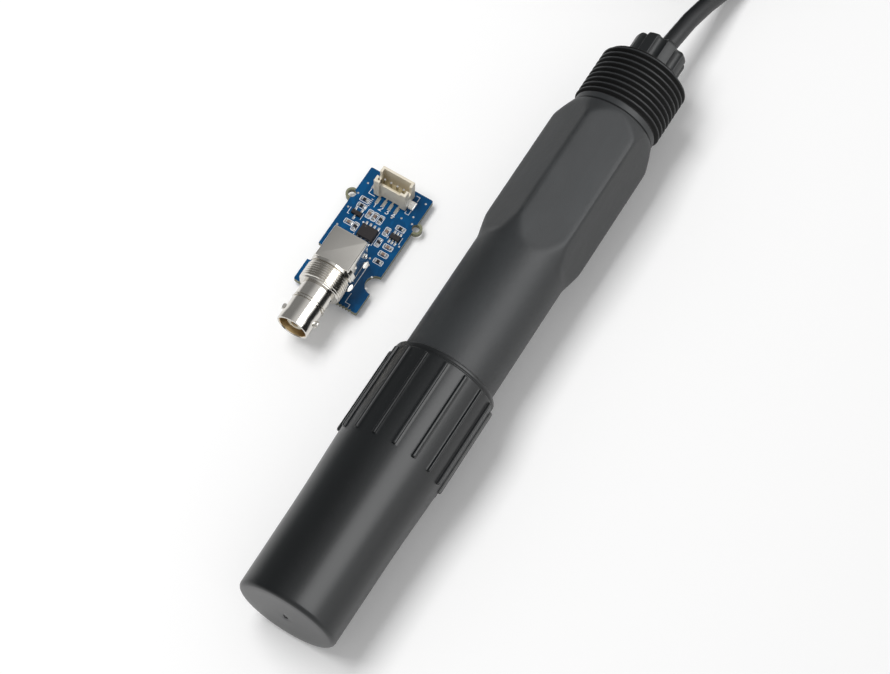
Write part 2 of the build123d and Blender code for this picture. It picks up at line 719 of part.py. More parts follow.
# Cable: its free run from the gland to the coil, the wound coil, and the tail to the plug on top of it
coil_height = coil_layers * cable_d
coil_edge_round = 0.45 * cable_d
coil_inner_turn = coil_outer_turn - coil_turns_per_layer * cable_d
plug_z = coil_height + face_gap + plug_sleeve_d / 2
x_lip = plug_x + plug_sleeve_length - plug_lip_length
x_plug_body = plug_x + plug_sleeve_length + slide_gap
x_stem = x_plug_body + plug_body_length
x_insulator_end = x_stem - plug_back_wall
x_stem_end = x_stem + plug_stem_length
floor_z = cable_d / 2
top_turn_z = coil_height - cable_d / 2
run_route = [(x_chamber_end, probe_y, probe_z), (104.0, probe_y, probe_z), (135.0, -24.0, floor_z + 0.4),
             (155.5, -30.6, floor_z), (171.0, coil_y - coil_outer_turn, floor_z)]
tail_route = [(217.8, 1.1, top_turn_z), (220.8, 12.2, top_turn_z + 0.7), (219.3, 24.1, 20.0),
              (213.0, 35.5, 22.9), (202.8, 43.5, 25.6), (188.5, plug_y, plug_z), (x_stem_end, plug_y, plug_z)]


def cord(route, name):
    """Round tube along straight runs and tangent arcs; each arc is as large as its two runs allow."""
    runs = [Vector(*end) - Vector(*start) for start, end in zip(route, route[1:])]
    bends = [before.get_angle(after) for before, after in zip(runs, runs[1:])]
    radii = [0.45 * min(before.length, after.length) / tan(radians(bend) / 2)
             for before, after, bend in zip(runs, runs[1:], bends)]
    with BuildPart() as tube:
        with BuildLine() as path:
            FilletPolyline(*route, radius=radii)
        with BuildSketch(Plane(origin=path.wire() @ 0, z_dir=path.wire() % 0)):
            Circle(cable_d / 2)
        sweep()
    section = pi * cable_d ** 2 / 4
    print(name, "length", round(path.wire().length, 1), "volume share",
          round(tube.part.volume / (section * path.wire().length), 4), "radii", [round(r, 1) for r in radii])
    return tube


cable_run = cord(run_route, "cable_run")
cable_run.part.label = "cable_run"
export_step(cable_run.part, "parts/cable_run.step")

with BuildPart() as cable_coil:
    with BuildSketch(Plane.XY):
        with Locations((coil_x, coil_y)):
            Circle(coil_outer_turn + cable_d / 2)
            Circle(coil_inner_turn - cable_d / 2, mode=Mode.SUBTRACT)
    extrude(amount=coil_height)
    fillet(cable_coil.edges().filter_by(GeomType.CIRCLE), radius=coil_edge_round)
cable_coil.part.label = "cable_coil"
export_step(cable_coil.part, "parts/cable_coil.step")

cable_tail = cord(tail_route, "cable_tail")
cable_tail.part.label = "cable_tail"
export_step(cable_tail.part, "parts/cable_tail.step")

# Plug: body with its inner barrel, insulator, pin, crimped ferrule and boot
plug_plane = Plane(origin=(0, plug_y, plug_z), x_dir=(1, 0, 0), z_dir=(0, 0, 1))
plug_axis = Axis((0, plug_y, plug_z), (1, 0, 0))
sleeve_bore = plug_sleeve_bore / 2
insulator_hold = plug_barrel_bore / 2 - running_gap
x_shoulder = x_lip - running_gap - plug_shoulder_length
with BuildPart() as plug_body:
    turned([(plug_x + plug_barrel_recess, plug_barrel_bore / 2, 0),
            (plug_x + plug_barrel_recess, plug_barrel_d / 2, plug_round), (x_shoulder, plug_barrel_d / 2, 0),
            (x_shoulder, sleeve_bore - running_gap, 0), (x_lip - running_gap, sleeve_bore - running_gap, 0),
            (x_lip - running_gap, plug_neck_d / 2, 0), (x_plug_body, plug_neck_d / 2, 0),
            (x_plug_body, plug_body_d / 2, plug_round), (x_stem, plug_body_d / 2, plug_round),
            (x_stem, plug_stem_d / 2, 0), (x_stem_end, plug_stem_d / 2, 0), (x_stem_end, 0, 0),
            (x_insulator_end, 0, 0), (x_insulator_end, plug_barrel_bore / 2, 0)], plug_plane, plug_axis)
plug_body.part.label = "plug_body"
export_step(plug_body.part, "parts/plug_body.step")

with BuildPart() as plug_insulator:
    turned([(plug_x + plug_insulator_recess, plug_pin_d / 2 + running_gap, 0),
            (plug_x + plug_insulator_recess, insulator_hold, 0), (x_insulator_end, insulator_hold, 0),
            (x_insulator_end, plug_pin_d / 2 + running_gap, 0)], plug_plane, plug_axis)
plug_insulator.part.label = "plug_insulator"
export_step(plug_insulator.part, "parts/plug_insulator.step")

with BuildPart() as plug_pin:
    turned([(plug_x + plug_pin_recess, 0, 0), (plug_x + plug_pin_recess, plug_pin_d / 2, plug_pin_d / 3),
            (x_insulator_end, plug_pin_d / 2, 0), (x_insulator_end, 0, 0)], plug_plane, plug_axis)
plug_pin.part.label = "plug_pin"
export_step(plug_pin.part, "parts/plug_pin.step")

ferrule_bore = plug_stem_d / 2 + running_gap
with BuildPart() as plug_ferrule:
    turned([(x_stem, ferrule_bore, 0), (x_stem, ferrule_bore + ferrule_wall, 0),
            (x_stem_end, ferrule_bore + ferrule_wall, 0), (x_stem_end, ferrule_bore, 0)],
           plug_plane, plug_axis)
plug_ferrule.part.label = "plug_ferrule"
export_step(plug_ferrule.part, "parts/plug_ferrule.step")

x_boot = x_stem + slide_gap
x_boot_end = x_boot + boot_length
boot_bore = ferrule_bore + ferrule_wall + running_gap
cable_fit = cable_d / 2 + slide_gap
with BuildPart() as plug_boot:
    turned([(x_boot, boot_bore, 0), (x_boot, boot_d / 2, plug_round), (x_stem_end, boot_d / 2, boot_blend),
            (x_boot_end, boot_tip_d / 2, plug_round), (x_boot_end, cable_fit, 0),
            (x_stem_end + slide_gap, cable_fit, 0), (x_stem_end + slide_gap, boot_bore, 0)],
           plug_plane, plug_axis)
plug_boot.part.label = "plug_boot"
export_step(plug_boot.part, "parts/plug_boot.step")

# Coupling sleeve: fluted grip, rear lip round the neck, and two bayonet slots that wind back from its rim
with BuildPart() as plug_sleeve:
    turned([(plug_x, sleeve_bore, 0), (plug_x, plug_rim_d / 2, plug_round),
            (plug_x + plug_rim_length, plug_rim_d / 2, 0),
            (plug_x + plug_rim_length + plug_rim_slope, plug_sleeve_d / 2, 0),
            (plug_x + plug_sleeve_length, plug_sleeve_d / 2, plug_round),
            (plug_x + plug_sleeve_length, plug_neck_d / 2 + running_gap, 0),
            (x_lip, plug_neck_d / 2 + running_gap, 0), (x_lip, sleeve_bore, 0)], plug_plane, plug_axis)
    with BuildSketch(across(plug_x + plug_sleeve_length, plug_y, plug_z)):
        with PolarLocations((plug_sleeve_d + plug_flute_d) / 2 - plug_flute_depth, plug_flutes):
            Circle(plug_flute_d / 2)
    extrude(amount=-plug_flute_length, mode=Mode.SUBTRACT)
    for start in (0, 180):
        slot_foot = across(plug_x - plug_slot_width / 2, plug_y, plug_z).rotated((0, 0, start))
        with BuildLine(slot_foot) as winding:
            Helix(pitch=plug_slot_pitch, height=plug_slot_pitch * plug_slot_turn + plug_slot_width / 2,
                  radius=(sleeve_bore + plug_rim_d / 2) / 2)
        slot_start = winding.wire() @ 0
        slot_end = winding.wire() @ 1
        with BuildSketch(Plane(origin=slot_start, x_dir=slot_start - slot_foot.origin,
                               z_dir=winding.wire() % 0)) as slot_section:
            Rectangle(plug_sleeve_d - plug_sleeve_bore, plug_slot_width)
        sweep(slot_section.sketch, path=winding.wire(), is_frenet=True, mode=Mode.SUBTRACT)
        with BuildSketch(Plane(origin=slot_end, z_dir=slot_end - Vector(slot_end.X, plug_y, plug_z))):
            Circle(plug_slot_width / 2)
        extrude(amount=sleeve_bore / 2, both=True, mode=Mode.SUBTRACT)
plug_sleeve.part.label = "plug_sleeve"
export_step(plug_sleeve.part, "parts/plug_sleeve.step")
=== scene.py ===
"""Redox sensor kit on a pale studio floor, in metres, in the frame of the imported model."""
import bmesh
import bpy
import json
import numpy as np
from math import cos, pi, radians, sin, tan
from mathutils import Matrix, Vector


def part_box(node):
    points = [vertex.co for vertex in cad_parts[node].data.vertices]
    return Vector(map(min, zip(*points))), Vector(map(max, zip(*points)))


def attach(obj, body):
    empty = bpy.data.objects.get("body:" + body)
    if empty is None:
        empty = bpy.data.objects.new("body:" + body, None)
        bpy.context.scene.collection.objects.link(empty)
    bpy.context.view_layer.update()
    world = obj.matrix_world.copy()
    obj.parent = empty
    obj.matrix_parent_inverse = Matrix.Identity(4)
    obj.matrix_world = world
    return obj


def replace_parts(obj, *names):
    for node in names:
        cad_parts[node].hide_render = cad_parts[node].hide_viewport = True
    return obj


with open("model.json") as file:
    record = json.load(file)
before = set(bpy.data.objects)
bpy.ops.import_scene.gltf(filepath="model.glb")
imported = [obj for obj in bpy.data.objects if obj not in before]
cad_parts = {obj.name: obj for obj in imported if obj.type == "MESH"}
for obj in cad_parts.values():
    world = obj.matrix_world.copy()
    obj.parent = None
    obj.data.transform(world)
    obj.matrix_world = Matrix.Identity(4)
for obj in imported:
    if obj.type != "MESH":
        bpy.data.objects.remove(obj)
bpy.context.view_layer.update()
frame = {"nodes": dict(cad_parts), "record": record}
MM = 0.001

# Camera, at the photograph's viewing angle
CAMERA_PLACE = Vector((-0.25063, -0.14224, 0.63730))
CAMERA_TARGET = Vector((-0.00367, -0.01018, 0.0))
CAMERA_LENS = 104.27
PICTURE_UP_ANGLE = 31.317

# Electrode: its axis, and the lengths of its stretches from the guard's tip to the cable end
PROBE_Y = -0.019325
PROBE_Z = 0.0159
GUARD_X, BODY_END_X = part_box("probe_body")[0][0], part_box("probe_body")[1][0]
NOSE, FRONT_THREAD, RELIEF, SHANK, FLARE = 30.4 * MM, 16.0 * MM, 1.6 * MM, 48.0 * MM, 7.0 * MM
HEXAGON, BACK_FLARE, NECK = 35.2 * MM, 6.1 * MM, 2.4 * MM
THREAD_X = GUARD_X + NOSE
RELIEF_X = THREAD_X + FRONT_THREAD
SHANK_X = RELIEF_X + RELIEF
FLARE_X = SHANK_X + SHANK
HEX_X = FLARE_X + FLARE
HEX_END_X = HEX_X + HEXAGON
NECK_X = HEX_END_X + BACK_FLARE
REAR_THREAD_X = NECK_X + NECK
NOSE_R, POCKET_R, COLLAR_R, CHAMBER_R = 11.0 * MM, 8.6 * MM, 6.3 * MM, 9.5 * MM
SLOT_WIDTH, SLOT_DEPTH, POCKET_DEPTH, COLLAR = 5.0 * MM, 8.0 * MM, 17.5 * MM, 2.0 * MM
ROOT_R, THREAD_DEPTH, PITCH = 11.9 * MM, 1.1 * MM, 25.4 / 14 * MM
SHANK_R, HEX_CORNER_R, HEX_FLAT, HEX_RUNOUT = 13.45 * MM, 15.175 * MM, 13.15 * MM, 8.0 * MM
HEX_TURN = radians(11.0)
NECK_R, NECK_STEP = 12.45 * MM, 0.35 * MM
GLAND_R, GLAND_DEPTH, BACK_WALL, CABLE_BORE = 6.2 * MM, 11.8 * MM, 3.0 * MM, 2.8 * MM

# Soaking cap, from its closed end
CAP_X, MOUTH_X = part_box("soaking_cap")[0][0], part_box("soaking_cap")[1][0]
CAP_END_R, CAP_WAIST_R, CAP_MOUTH_R, RIB_R = 14.25 * MM, 14.45 * MM, 15.1 * MM, 15.9 * MM
CAP_WAIST_AT, RIB_START, RIB_END = 30.0 * MM, 48.9 * MM, 75.1 * MM
RIB_COUNT, RIB_TURN = 16, radians(5.6)
CAP_FLOOR, CAP_BORE_R, CAP_THREAD_R, CAP_MOUTH_BORE_R = 2.6 * MM, 12.6 * MM, 13.15 * MM, 13.75 * MM
GASKET_SEAT_R, GASKET = 14.25 * MM, 1.5 * MM

# Gland nut, and the soaking sponge
NUT_END_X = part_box("gland_nut")[1][0]
SPIGOT_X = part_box("gland_nut")[0][0]
NUT_R, SPIGOT_R, NUT_BORE_R = 7.95 * MM, 6.1 * MM, 2.8 * MM
FLUTES, FLUTE_R, FLUTE_DEPTH = 8, 1.7 * MM, 1.1 * MM
SPONGE_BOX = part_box("soaking_sponge")

# Board, and what stands on it, as distances from its centre in millimetres
BOARD_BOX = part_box("circuit_board")
BOARD_X = (BOARD_BOX[0][0] + BOARD_BOX[1][0]) / 2
BOARD_Y = (BOARD_BOX[0][1] + BOARD_BOX[1][1]) / 2
BOARD_LOW, BOARD_TOP = BOARD_BOX[0][2], BOARD_BOX[1][2]
JACK_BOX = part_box("jack_insulator")
JACK_MOUTH_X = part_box("jack_shell")[0][0]
JACK_Y = (JACK_BOX[0][1] + JACK_BOX[1][1]) / 2
JACK_Z = (JACK_BOX[0][2] + JACK_BOX[1][2]) / 2
BARREL, NECK_LENGTH, BLOCK, BLOCK_HEIGHT = 12.9 * MM, 6.8 * MM, 10.3 * MM, 12.2 * MM
JACK_PITCH, JACK_THREAD_DEPTH, JACK_ROOT_R, JACK_BORE_R = 0.70 * MM, 0.5 * MM, 5.85 * MM, 4.1 * MM
LUG_AT, LUG_TIP = 4.2 * MM, 5.5 * MM
CAPACITORS = [(2.3, 6.3, 90), (7.35, 2.8, 0), (7.35, 1.1, 0), (5.2, -4.05, 0), (-1.17, -6.9, 90),
              (1.33, -6.9, 90)]
RESISTORS = [(2.0, 4.15, 0), (7.35, -0.75, 0), (1.3, -3.85, 0), (-3.76, -6.9, 90), (7.92, -6.9, 90),
             (8.35, 5.9, 90), (10.4, 6.2, 90)]
AMPLIFIER, CONVERTER, TRANSISTOR = (1.85, 0.09), (4.75, -7.0), (5.55, 5.9)
HEADER_ROWS = (-3.0, -1.0, 1.0, 3.0)
HEADER_AT = 15.75
HEADER_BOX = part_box("header_housing")
JACK_PINS = [(x, y) for x in (-6.3, -14.4) for y in (-3.75, 4.85)]

# Cable route, the same points as the tube's in the model
CABLE_D = 0.005
COIL_CENTRE = (0.172, 0.016)
COIL_LAYERS = 4
COIL_TURNS = 5.4
COIL_OUTER = 0.04815
COIL_CLIMB = radians(72.0)
POINTS_PER_TURN = 16
TOP_TURN_Z = (COIL_LAYERS - 0.5) * CABLE_D
CHAMBER_END_X = BODY_END_X - GLAND_DEPTH - BACK_WALL
PLUG_Y = 0.0479
PLUG_Z = 0.0275
STEM_END_X = 0.1742
RUN_ROUTE = [(CHAMBER_END_X, PROBE_Y, PROBE_Z), (0.104, PROBE_Y, PROBE_Z), (0.135, -0.024, 0.0029),
             (0.1555, -0.0306, 0.0025), (0.171, COIL_CENTRE[1] - COIL_OUTER, 0.0025)]
TAIL_ROUTE = [(0.2178, 0.0011, TOP_TURN_Z), (0.2208, 0.0122, TOP_TURN_Z + 0.0007), (0.2193, 0.0241, 0.0200),
              (0.2130, 0.0355, 0.0229), (0.2028, 0.0435, 0.0256), (0.1885, PLUG_Y, PLUG_Z),
              (STEM_END_X, PLUG_Y, PLUG_Z)]


class Value:
    """One output of a shader node; arithmetic on it adds Math nodes."""

    def __init__(self, nodes, socket):
        self.nodes = nodes
        self.socket = socket

    def math(self, operation, *others):
        inputs = {0: self}
        inputs.update({place + 1: other for place, other in enumerate(others)})
        return self.nodes.node("ShaderNodeMath", {"operation": operation}, inputs)

    def __add__(self, other):
        return self.math("ADD", other)

    __radd__ = __add__

    def __sub__(self, other):
        return self.math("SUBTRACT", other)

    def __rsub__(self, other):
        return (self * -1.0).math("ADD", other)

    def __mul__(self, other):
        return self.math("MULTIPLY", other)

    def __abs__(self):
        return self.math("ABSOLUTE")

    def step(self, low, high):
        """0 below low, 1 above high, and a smooth rise between."""
        return self.nodes.node("ShaderNodeMapRange", {"interpolation_type": "SMOOTHSTEP"},
                               {"Value": self, "From Min": low, "From Max": high})


class Nodes:
    """A node tree under construction; node() adds any node by its type, settings and inputs."""

    def __init__(self, tree):
        self.tree = tree
        self.tree.nodes.clear()

    def node(self, kind, settings=None, inputs=None, output=0):
        node = self.tree.nodes.new(kind)
        for name, value in (settings or {}).items():
            setattr(node, name, value)
        for name, value in (inputs or {}).items():
            if isinstance(value, Value):
                self.tree.links.new(value.socket, node.inputs[name])
            elif isinstance(value, tuple) and len(value) == 3 and node.inputs[name].type == "RGBA":
                node.inputs[name].default_value = (*value, 1.0)
            else:
                node.inputs[name].default_value = value
        return Value(self, node.outputs[output]) if len(node.outputs) else None

    def rays(self, *kinds):
        """1 for a ray of any of these kinds, such as Is Camera Ray."""
        seen = self.node("ShaderNodeLightPath", output=kinds[0])
        for kind in kinds[1:]:
            seen = seen.math("MAXIMUM", self.node("ShaderNodeLightPath", output=kind))
        return seen


class Finish(Nodes):
    """A material whose patterns follow the piece's own coordinates."""

    def __init__(self, name):
        self.material = bpy.data.materials.new(name)
        self.material.use_nodes = True
        super().__init__(self.material.node_tree)
        self.place = self.node("ShaderNodeTexCoord", output="Object")

    def noise(self, per_metre, detail=2.0, stretch=(1.0, 1.0, 1.0), roughness=0.5):
        place = self.node("ShaderNodeMapping", {"vector_type": "POINT"},
                          {"Vector": self.place, "Scale": stretch})
        return self.node("ShaderNodeTexNoise", {}, {"Vector": place, "Scale": per_metre, "Detail": detail,
                                                    "Roughness": roughness})

    def blend(self, share, first, second):
        """Colour from first to second as share goes from 0 to 1."""
        return self.node("ShaderNodeMix", {"data_type": "RGBA"}, {0: share, 6: first, 7: second}, output=2)

    def axis(self, letter):
        return self.node("ShaderNodeSeparateXYZ", {}, {0: self.place}, output="XYZ".index(letter))

    def away(self, y, z):
        """Distance from a line along X through this y and z."""
        aside, above = self.axis("Y") - y, self.axis("Z") - z
        return (aside * aside + above * above).math("SQRT")

    def upright(self):
        """1 where the surface is level, 0 where it stands on edge."""
        normal = self.node("ShaderNodeNewGeometry", output="Normal")
        return abs(self.node("ShaderNodeSeparateXYZ", {}, {0: normal}, output=2)).step(0.4, 0.6)

    def bump(self, height, distance, normal=None):
        inputs = {"Height": height, "Distance": distance, "Strength": 1.0}
        if normal is not None:
            inputs["Normal"] = normal
        return self.node("ShaderNodeBump", {}, inputs)

    def surface(self, **inputs):
        """Close the material with a Principled shader; keywords are its sockets with spaces as
        underscores."""
        sockets = {name.replace("_", " "): value for name, value in inputs.items()}
        return self.close(self.node("ShaderNodeBsdfPrincipled", {}, sockets))

    def close(self, shader):
        self.node("ShaderNodeOutputMaterial", {}, {"Surface": shader})
        return self.material


def shade(colour, share):
    return tuple(part * share for part in colour)


def moulded_plastic(name, colour, roughness, mottling=0.12, grain=0.000012):
    """Dark moulded plastic: cloudy tone, slightly uneven gloss and a fine grain."""
    finish = Finish(name)
    clouds = finish.noise(55.0, 3.0)
    grains = finish.noise(3800.0, 2.0)
    tone = finish.blend(clouds.step(0.35, 0.65), shade(colour, 1 - mottling), shade(colour, 1 + mottling))
    gloss = roughness + (clouds - 0.5) * 0.10 + (grains - 0.5) * 0.08
    return finish.surface(Base_Color=tone, Roughness=gloss, Normal=finish.bump(grains, grain))


def electrode_plastic(name, colour, roughness):
    """Charcoal body moulding: clouded tone, rubbed streaks along it, fine grain, and painted shade in the
    thread and neck grooves.
    """
    finish = Finish(name)
    clouds = finish.noise(70.0, 4.0, (0.6, 1.0, 1.0))
    streaks = finish.noise(160.0, 3.0, (0.12, 1.0, 1.0))
    grains = finish.noise(3000.0, 2.0)
    tone = finish.blend(clouds.step(0.32, 0.68), shade(colour, 0.84), shade(colour, 1.16))
    tone = finish.blend(streaks.step(0.55, 0.75) * 0.35, tone, shade(colour, 1.45))
    away = finish.away(PROBE_Y, PROBE_Z)
    # Painted shade: the thread grooves turn near black, and rougher, from their bottoms up to about three
    # quarters of the thread's height.
    depth = 1.0 - away.step(ROOT_R + 0.72 * THREAD_DEPTH, ROOT_R + 0.97 * THREAD_DEPTH)
    threaded = finish.axis("X").step(REAR_THREAD_X - 0.1 * MM, REAR_THREAD_X + 0.1 * MM)
    # Painted shade: a dark band along the groove at the neck.
    groove = 1.0 - abs(finish.axis("X") - (NECK_X + 0.3 * MM)).step(0.15 * MM, 0.6 * MM)
    tone = finish.blend(groove * 0.7, tone, shade(colour, 0.25))
    tone = finish.blend(threaded * depth, tone, shade(colour, 0.02))
    gloss = roughness + (clouds - 0.5) * 0.16 + (grains - 0.5) * 0.10 + threaded * depth * 0.45
    normal = finish.bump(grains, 0.000018, finish.bump(clouds, 0.00025))
    return finish.surface(Base_Color=tone, Roughness=gloss, Normal=normal)


def cap_plastic(name, colour, roughness):
    """Near-black smooth moulding: faint flow marks, dust specks, and painted shade in the gate mark's pit on
    its end.
    """
    finish = Finish(name)
    flow = finish.noise(48.0, 3.0, (0.3, 1.0, 1.0))
    grains = finish.noise(4200.0, 2.0)
    specks = finish.noise(1100.0, 1.0).step(0.79, 0.84)
    tone = finish.blend(flow.step(0.3, 0.7), shade(colour, 0.85), shade(colour, 1.2))
    tone = finish.blend(specks * 0.4, tone, (0.06, 0.06, 0.06))
    # Painted shade: the gate mark's pit on the end face is painted near black.
    end = 1.0 - finish.axis("X").step(CAP_X + 0.9 * MM, CAP_X + 1.2 * MM)
    gate = 1.0 - (finish.away(PROBE_Y, PROBE_Z) + (finish.noise(1500.0) - 0.5) * 0.0009).step(0.55 * MM,
            0.9 * MM)
    tone = finish.blend(end * gate * 0.9, tone, (0.001, 0.001, 0.001))
    gloss = roughness + (flow - 0.5) * 0.10 + (grains - 0.5) * 0.05 + specks * 0.2
    return finish.surface(Base_Color=tone, Roughness=gloss, Normal=finish.bump(grains, 0.000005))


def plated_metal(name, colour, roughness, wear=0.04):
    """Bright nickel, tin or gold plate with faint cloudiness in its gloss."""
    finish = Finish(name)
    clouds = finish.noise(260.0, 3.0)
    fine = finish.noise(5200.0, 2.0)
    gloss = roughness + (clouds - 0.5) * wear + (fine - 0.5) * wear
    tone = finish.blend(clouds, shade(colour, 0.96), colour)
    return finish.surface(Base_Color=tone, Metallic=1.0, Roughness=gloss, Normal=finish.bump(fine, 0.000002))


def jack_plate(name):
    """Bright nickel outside, and the brassy bore behind the jack's mouth."""
    finish = Finish(name)
    clouds = finish.noise(260.0, 3.0)
    outside = finish.blend(clouds, (0.66, 0.635, 0.59), (0.72, 0.70, 0.66))
    bore = 1.0 - finish.away(JACK_Y, JACK_Z).step(4.12 * MM, 4.22 * MM)
    inside = 1.0 - finish.axis("X").step(JACK_MOUTH_X + 9.6 * MM, JACK_MOUTH_X + 9.8 * MM)
    tone = finish.blend(bore * inside, outside, (0.80, 0.62, 0.36))
    gloss = 0.09 + clouds * 0.06 + bore * inside * 0.3
    return finish.surface(Base_Color=tone, Metallic=1.0, Roughness=gloss,
                          Normal=finish.bump(finish.noise(5200.0), 0.0000015))


def plain_gloss(name, colour, roughness, deep=0.85):
    """Pale or coloured moulding with soft tone changes."""
    finish = Finish(name)
    clouds = finish.noise(180.0, 3.0)
    tone = finish.blend(clouds.step(0.3, 0.7), shade(colour, deep), colour)
    return finish.surface(Base_Color=tone, Roughness=roughness + (clouds - 0.5) * 0.08,
                          Normal=finish.bump(finish.noise(4200.0), 0.000006))


def header_nylon(name):
    """Ivory nylon, with painted shade inside the socket: yellower and darker further down."""
    finish = Finish(name)
    clouds = finish.noise(300.0, 3.0)
    tone = finish.blend(clouds.step(0.3, 0.7), (0.74, 0.68, 0.55), (0.80, 0.74, 0.62))
    # Painted shade: inside the walls the ivory turns brown, more so towards the socket's floor.
    along = abs(finish.axis("X") - (BOARD_X + HEADER_AT * MM)).step(1.75 * MM, 1.95 * MM)
    aside = abs(finish.axis("Y") - BOARD_Y).step(4.15 * MM, 4.35 * MM)
    low = 1.0 - finish.axis("Z").step(BOARD_TOP + 3.0 * MM, BOARD_TOP + 8.4 * MM)
    inside = (1.0 - along) * (1.0 - aside)
    tone = finish.blend(inside * (0.35 + low * 0.5), tone, (0.46, 0.37, 0.19))
    return finish.surface(Base_Color=tone, Roughness=0.36 + clouds * 0.1,
                          Normal=finish.bump(finish.noise(3600.0), 0.000008))


def board_laminate(name):
    """Blue solder mask on the faces, with copper showing faintly through it, and bare glass laminate on edges
    and ears."""
    finish = Finish(name)
    clouds = finish.noise(420.0, 2.0)
    copper = finish.noise(190.0, 1.0, (1.0, 1.6, 1.0)).step(0.52, 0.56)
    mask = finish.blend(copper * 0.6, (0.0010, 0.058, 0.165), (0.0012, 0.082, 0.228))
    weave = finish.noise(2600.0, 2.0)
    bare = finish.blend(weave, (0.13, 0.14, 0.09), (0.30, 0.30, 0.20))
    ears = abs(finish.axis("Y") - BOARD_Y).step(9.95 * MM, 10.15 * MM)
    tone = finish.blend(finish.upright() * (1.0 - ears), bare, mask)
    return finish.surface(Base_Color=tone, Roughness=0.30 + clouds * 0.12, Specular_IOR_Level=0.16,
                          Normal=finish.bump(copper, 0.00001, finish.bump(weave, 0.000003)))


def clear_glass(name):
    finish = Finish(name)
    streaks = finish.noise(90.0, 2.0, (0.2, 1.0, 1.0))
    return finish.surface(Base_Color=(0.95, 0.98, 0.97), Roughness=streaks * 0.05, Transmission_Weight=1.0,
                          IOR=1.47)


def foam(name):
    """Open-cell foam: round pores, with painted shade darkening their hollows."""
    finish = Finish(name)
    cells = finish.node("ShaderNodeTexVoronoi", {}, {"Vector": finish.place, "Scale": 1400.0})
    # Painted shade: darkest at each pore's middle, where the bump is lowest.
    tone = finish.blend(cells.step(0.1, 0.6), (0.42, 0.37, 0.20), (0.85, 0.80, 0.56))
    return finish.surface(Base_Color=tone, Roughness=0.85, Normal=finish.bump(cells, 0.0003))


def strap_loops(name):
    """Black strap of small fabric loops, with painted shade in the hollows between them."""
    finish = Finish(name)
    loops = finish.node("ShaderNodeTexVoronoi", {}, {"Vector": finish.place, "Scale": 1800.0})
    # Painted shade: darkest where the bump is lowest.
    tone = finish.blend(loops.step(0.0, 0.7), (0.012, 0.012, 0.013), (0.05, 0.05, 0.052))
    return finish.surface(Base_Color=tone, Roughness=0.9, Sheen_Weight=0.3, Normal=finish.bump(loops, 0.0002))


FINISHES = [
    (electrode_plastic, "body_plastic", (0.0185, 0.0205, 0.0220), 0.50),
    (cap_plastic, "cap_plastic", (0.0048, 0.0060, 0.0068), 0.33),
    (moulded_plastic, "gland_plastic", (0.0070, 0.0085, 0.0092), 0.42),
    (moulded_plastic, "seal_rubber", (0.012, 0.012, 0.012), 0.75),
    (moulded_plastic, "cable_jacket", (0.0080, 0.0090, 0.0100), 0.45),
    (moulded_plastic, "boot_rubber", (0.018, 0.018, 0.019), 0.62),
    (moulded_plastic, "chip_black", (0.0095, 0.0072, 0.0078), 0.55, 0.25, 0.000025),
    (moulded_plastic, "potting_resin", (0.02, 0.02, 0.02), 0.25),
    (moulded_plastic, "resistor_black", (0.014, 0.014, 0.017), 0.22),
    (jack_plate, "jack_nickel"),
    (plated_metal, "plug_nickel", (0.72, 0.70, 0.66), 0.16),
    (plated_metal, "tinned_metal", (0.80, 0.80, 0.79), 0.24, 0.12),
    (plated_metal, "contact_gold", (0.86, 0.62, 0.26), 0.20),
    (plated_metal, "platinum", (0.74, 0.73, 0.71), 0.12),
    (plated_metal, "silver_wire", (0.80, 0.79, 0.76), 0.28),
    (plain_gloss, "insulator_white", (0.70, 0.66, 0.55), 0.35),
    (plain_gloss, "junction_ceramic", (0.82, 0.81, 0.77), 0.80),
    (header_nylon, "header_ivory"),
    (plain_gloss, "capacitor_tan", (0.22, 0.155, 0.125), 0.45),
    (board_laminate, "board_laminate"),
    (clear_glass, "probe_glass"),
    (foam, "sponge"),
]
finishes = {name: make(name, *values) for make, name, *values in FINISHES}
slot_of = {part["node"]: part["material_slot"] for part in frame["record"]["subparts"]}
for node, thing in frame["nodes"].items():
    thing.data.materials.clear()
    thing.data.materials.append(finishes[slot_of[node]])


def placed(name, data):
    thing = bpy.data.objects.new(name, data)
    bpy.context.scene.collection.objects.link(thing)
    return thing


def quads(rows, columns, wrap_rows=False, wrap_columns=True):
    """Corner numbers of the quads between neighbouring points of a grid that is numbered row by row."""
    row = np.arange(rows if wrap_rows else rows - 1)
    column = np.arange(columns if wrap_columns else columns - 1)
    first, side = np.meshgrid(row, column, indexing="ij")
    after, beside = (first + 1) % rows, (side + 1) % columns
    corners = [first * columns + side, first * columns + beside, after * columns + beside, after * columns
               + side]
    return np.stack(corners, axis=-1).reshape(-1, 4).tolist()


def piece(name, shapes, finish, body="root", sharp=32.0):
    """One object from closed shapes, each (points, faces): equal points are merged, faces turned outwards,
    and edges sharper than the given angle kept crisp."""
    counts = np.cumsum([0] + [points.reshape(-1, 3).shape[0] for points, faces in shapes])
    points = np.concatenate([points.reshape(-1, 3) for points, faces in shapes])
    faces = [[corner + start for corner in face] for start, (_, some) in zip(counts.tolist(), shapes)
             for face in some]
    mesh = bpy.data.meshes.new(name)
    mesh.from_pydata(points.tolist(), [], faces)
    shell = bmesh.new()
    shell.from_mesh(mesh)
    bmesh.ops.remove_doubles(shell, verts=shell.verts, dist=0.00002 * MM)
    bmesh.ops.recalc_face_normals(shell, faces=shell.faces)
    shell.to_mesh(mesh)
    shell.free()
    mesh.shade_smooth()
    mesh.set_sharp_from_angle(angle=radians(sharp))
    mesh.materials.append(finish)
    thing = placed(name, mesh)
    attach(thing, body)
    return thing


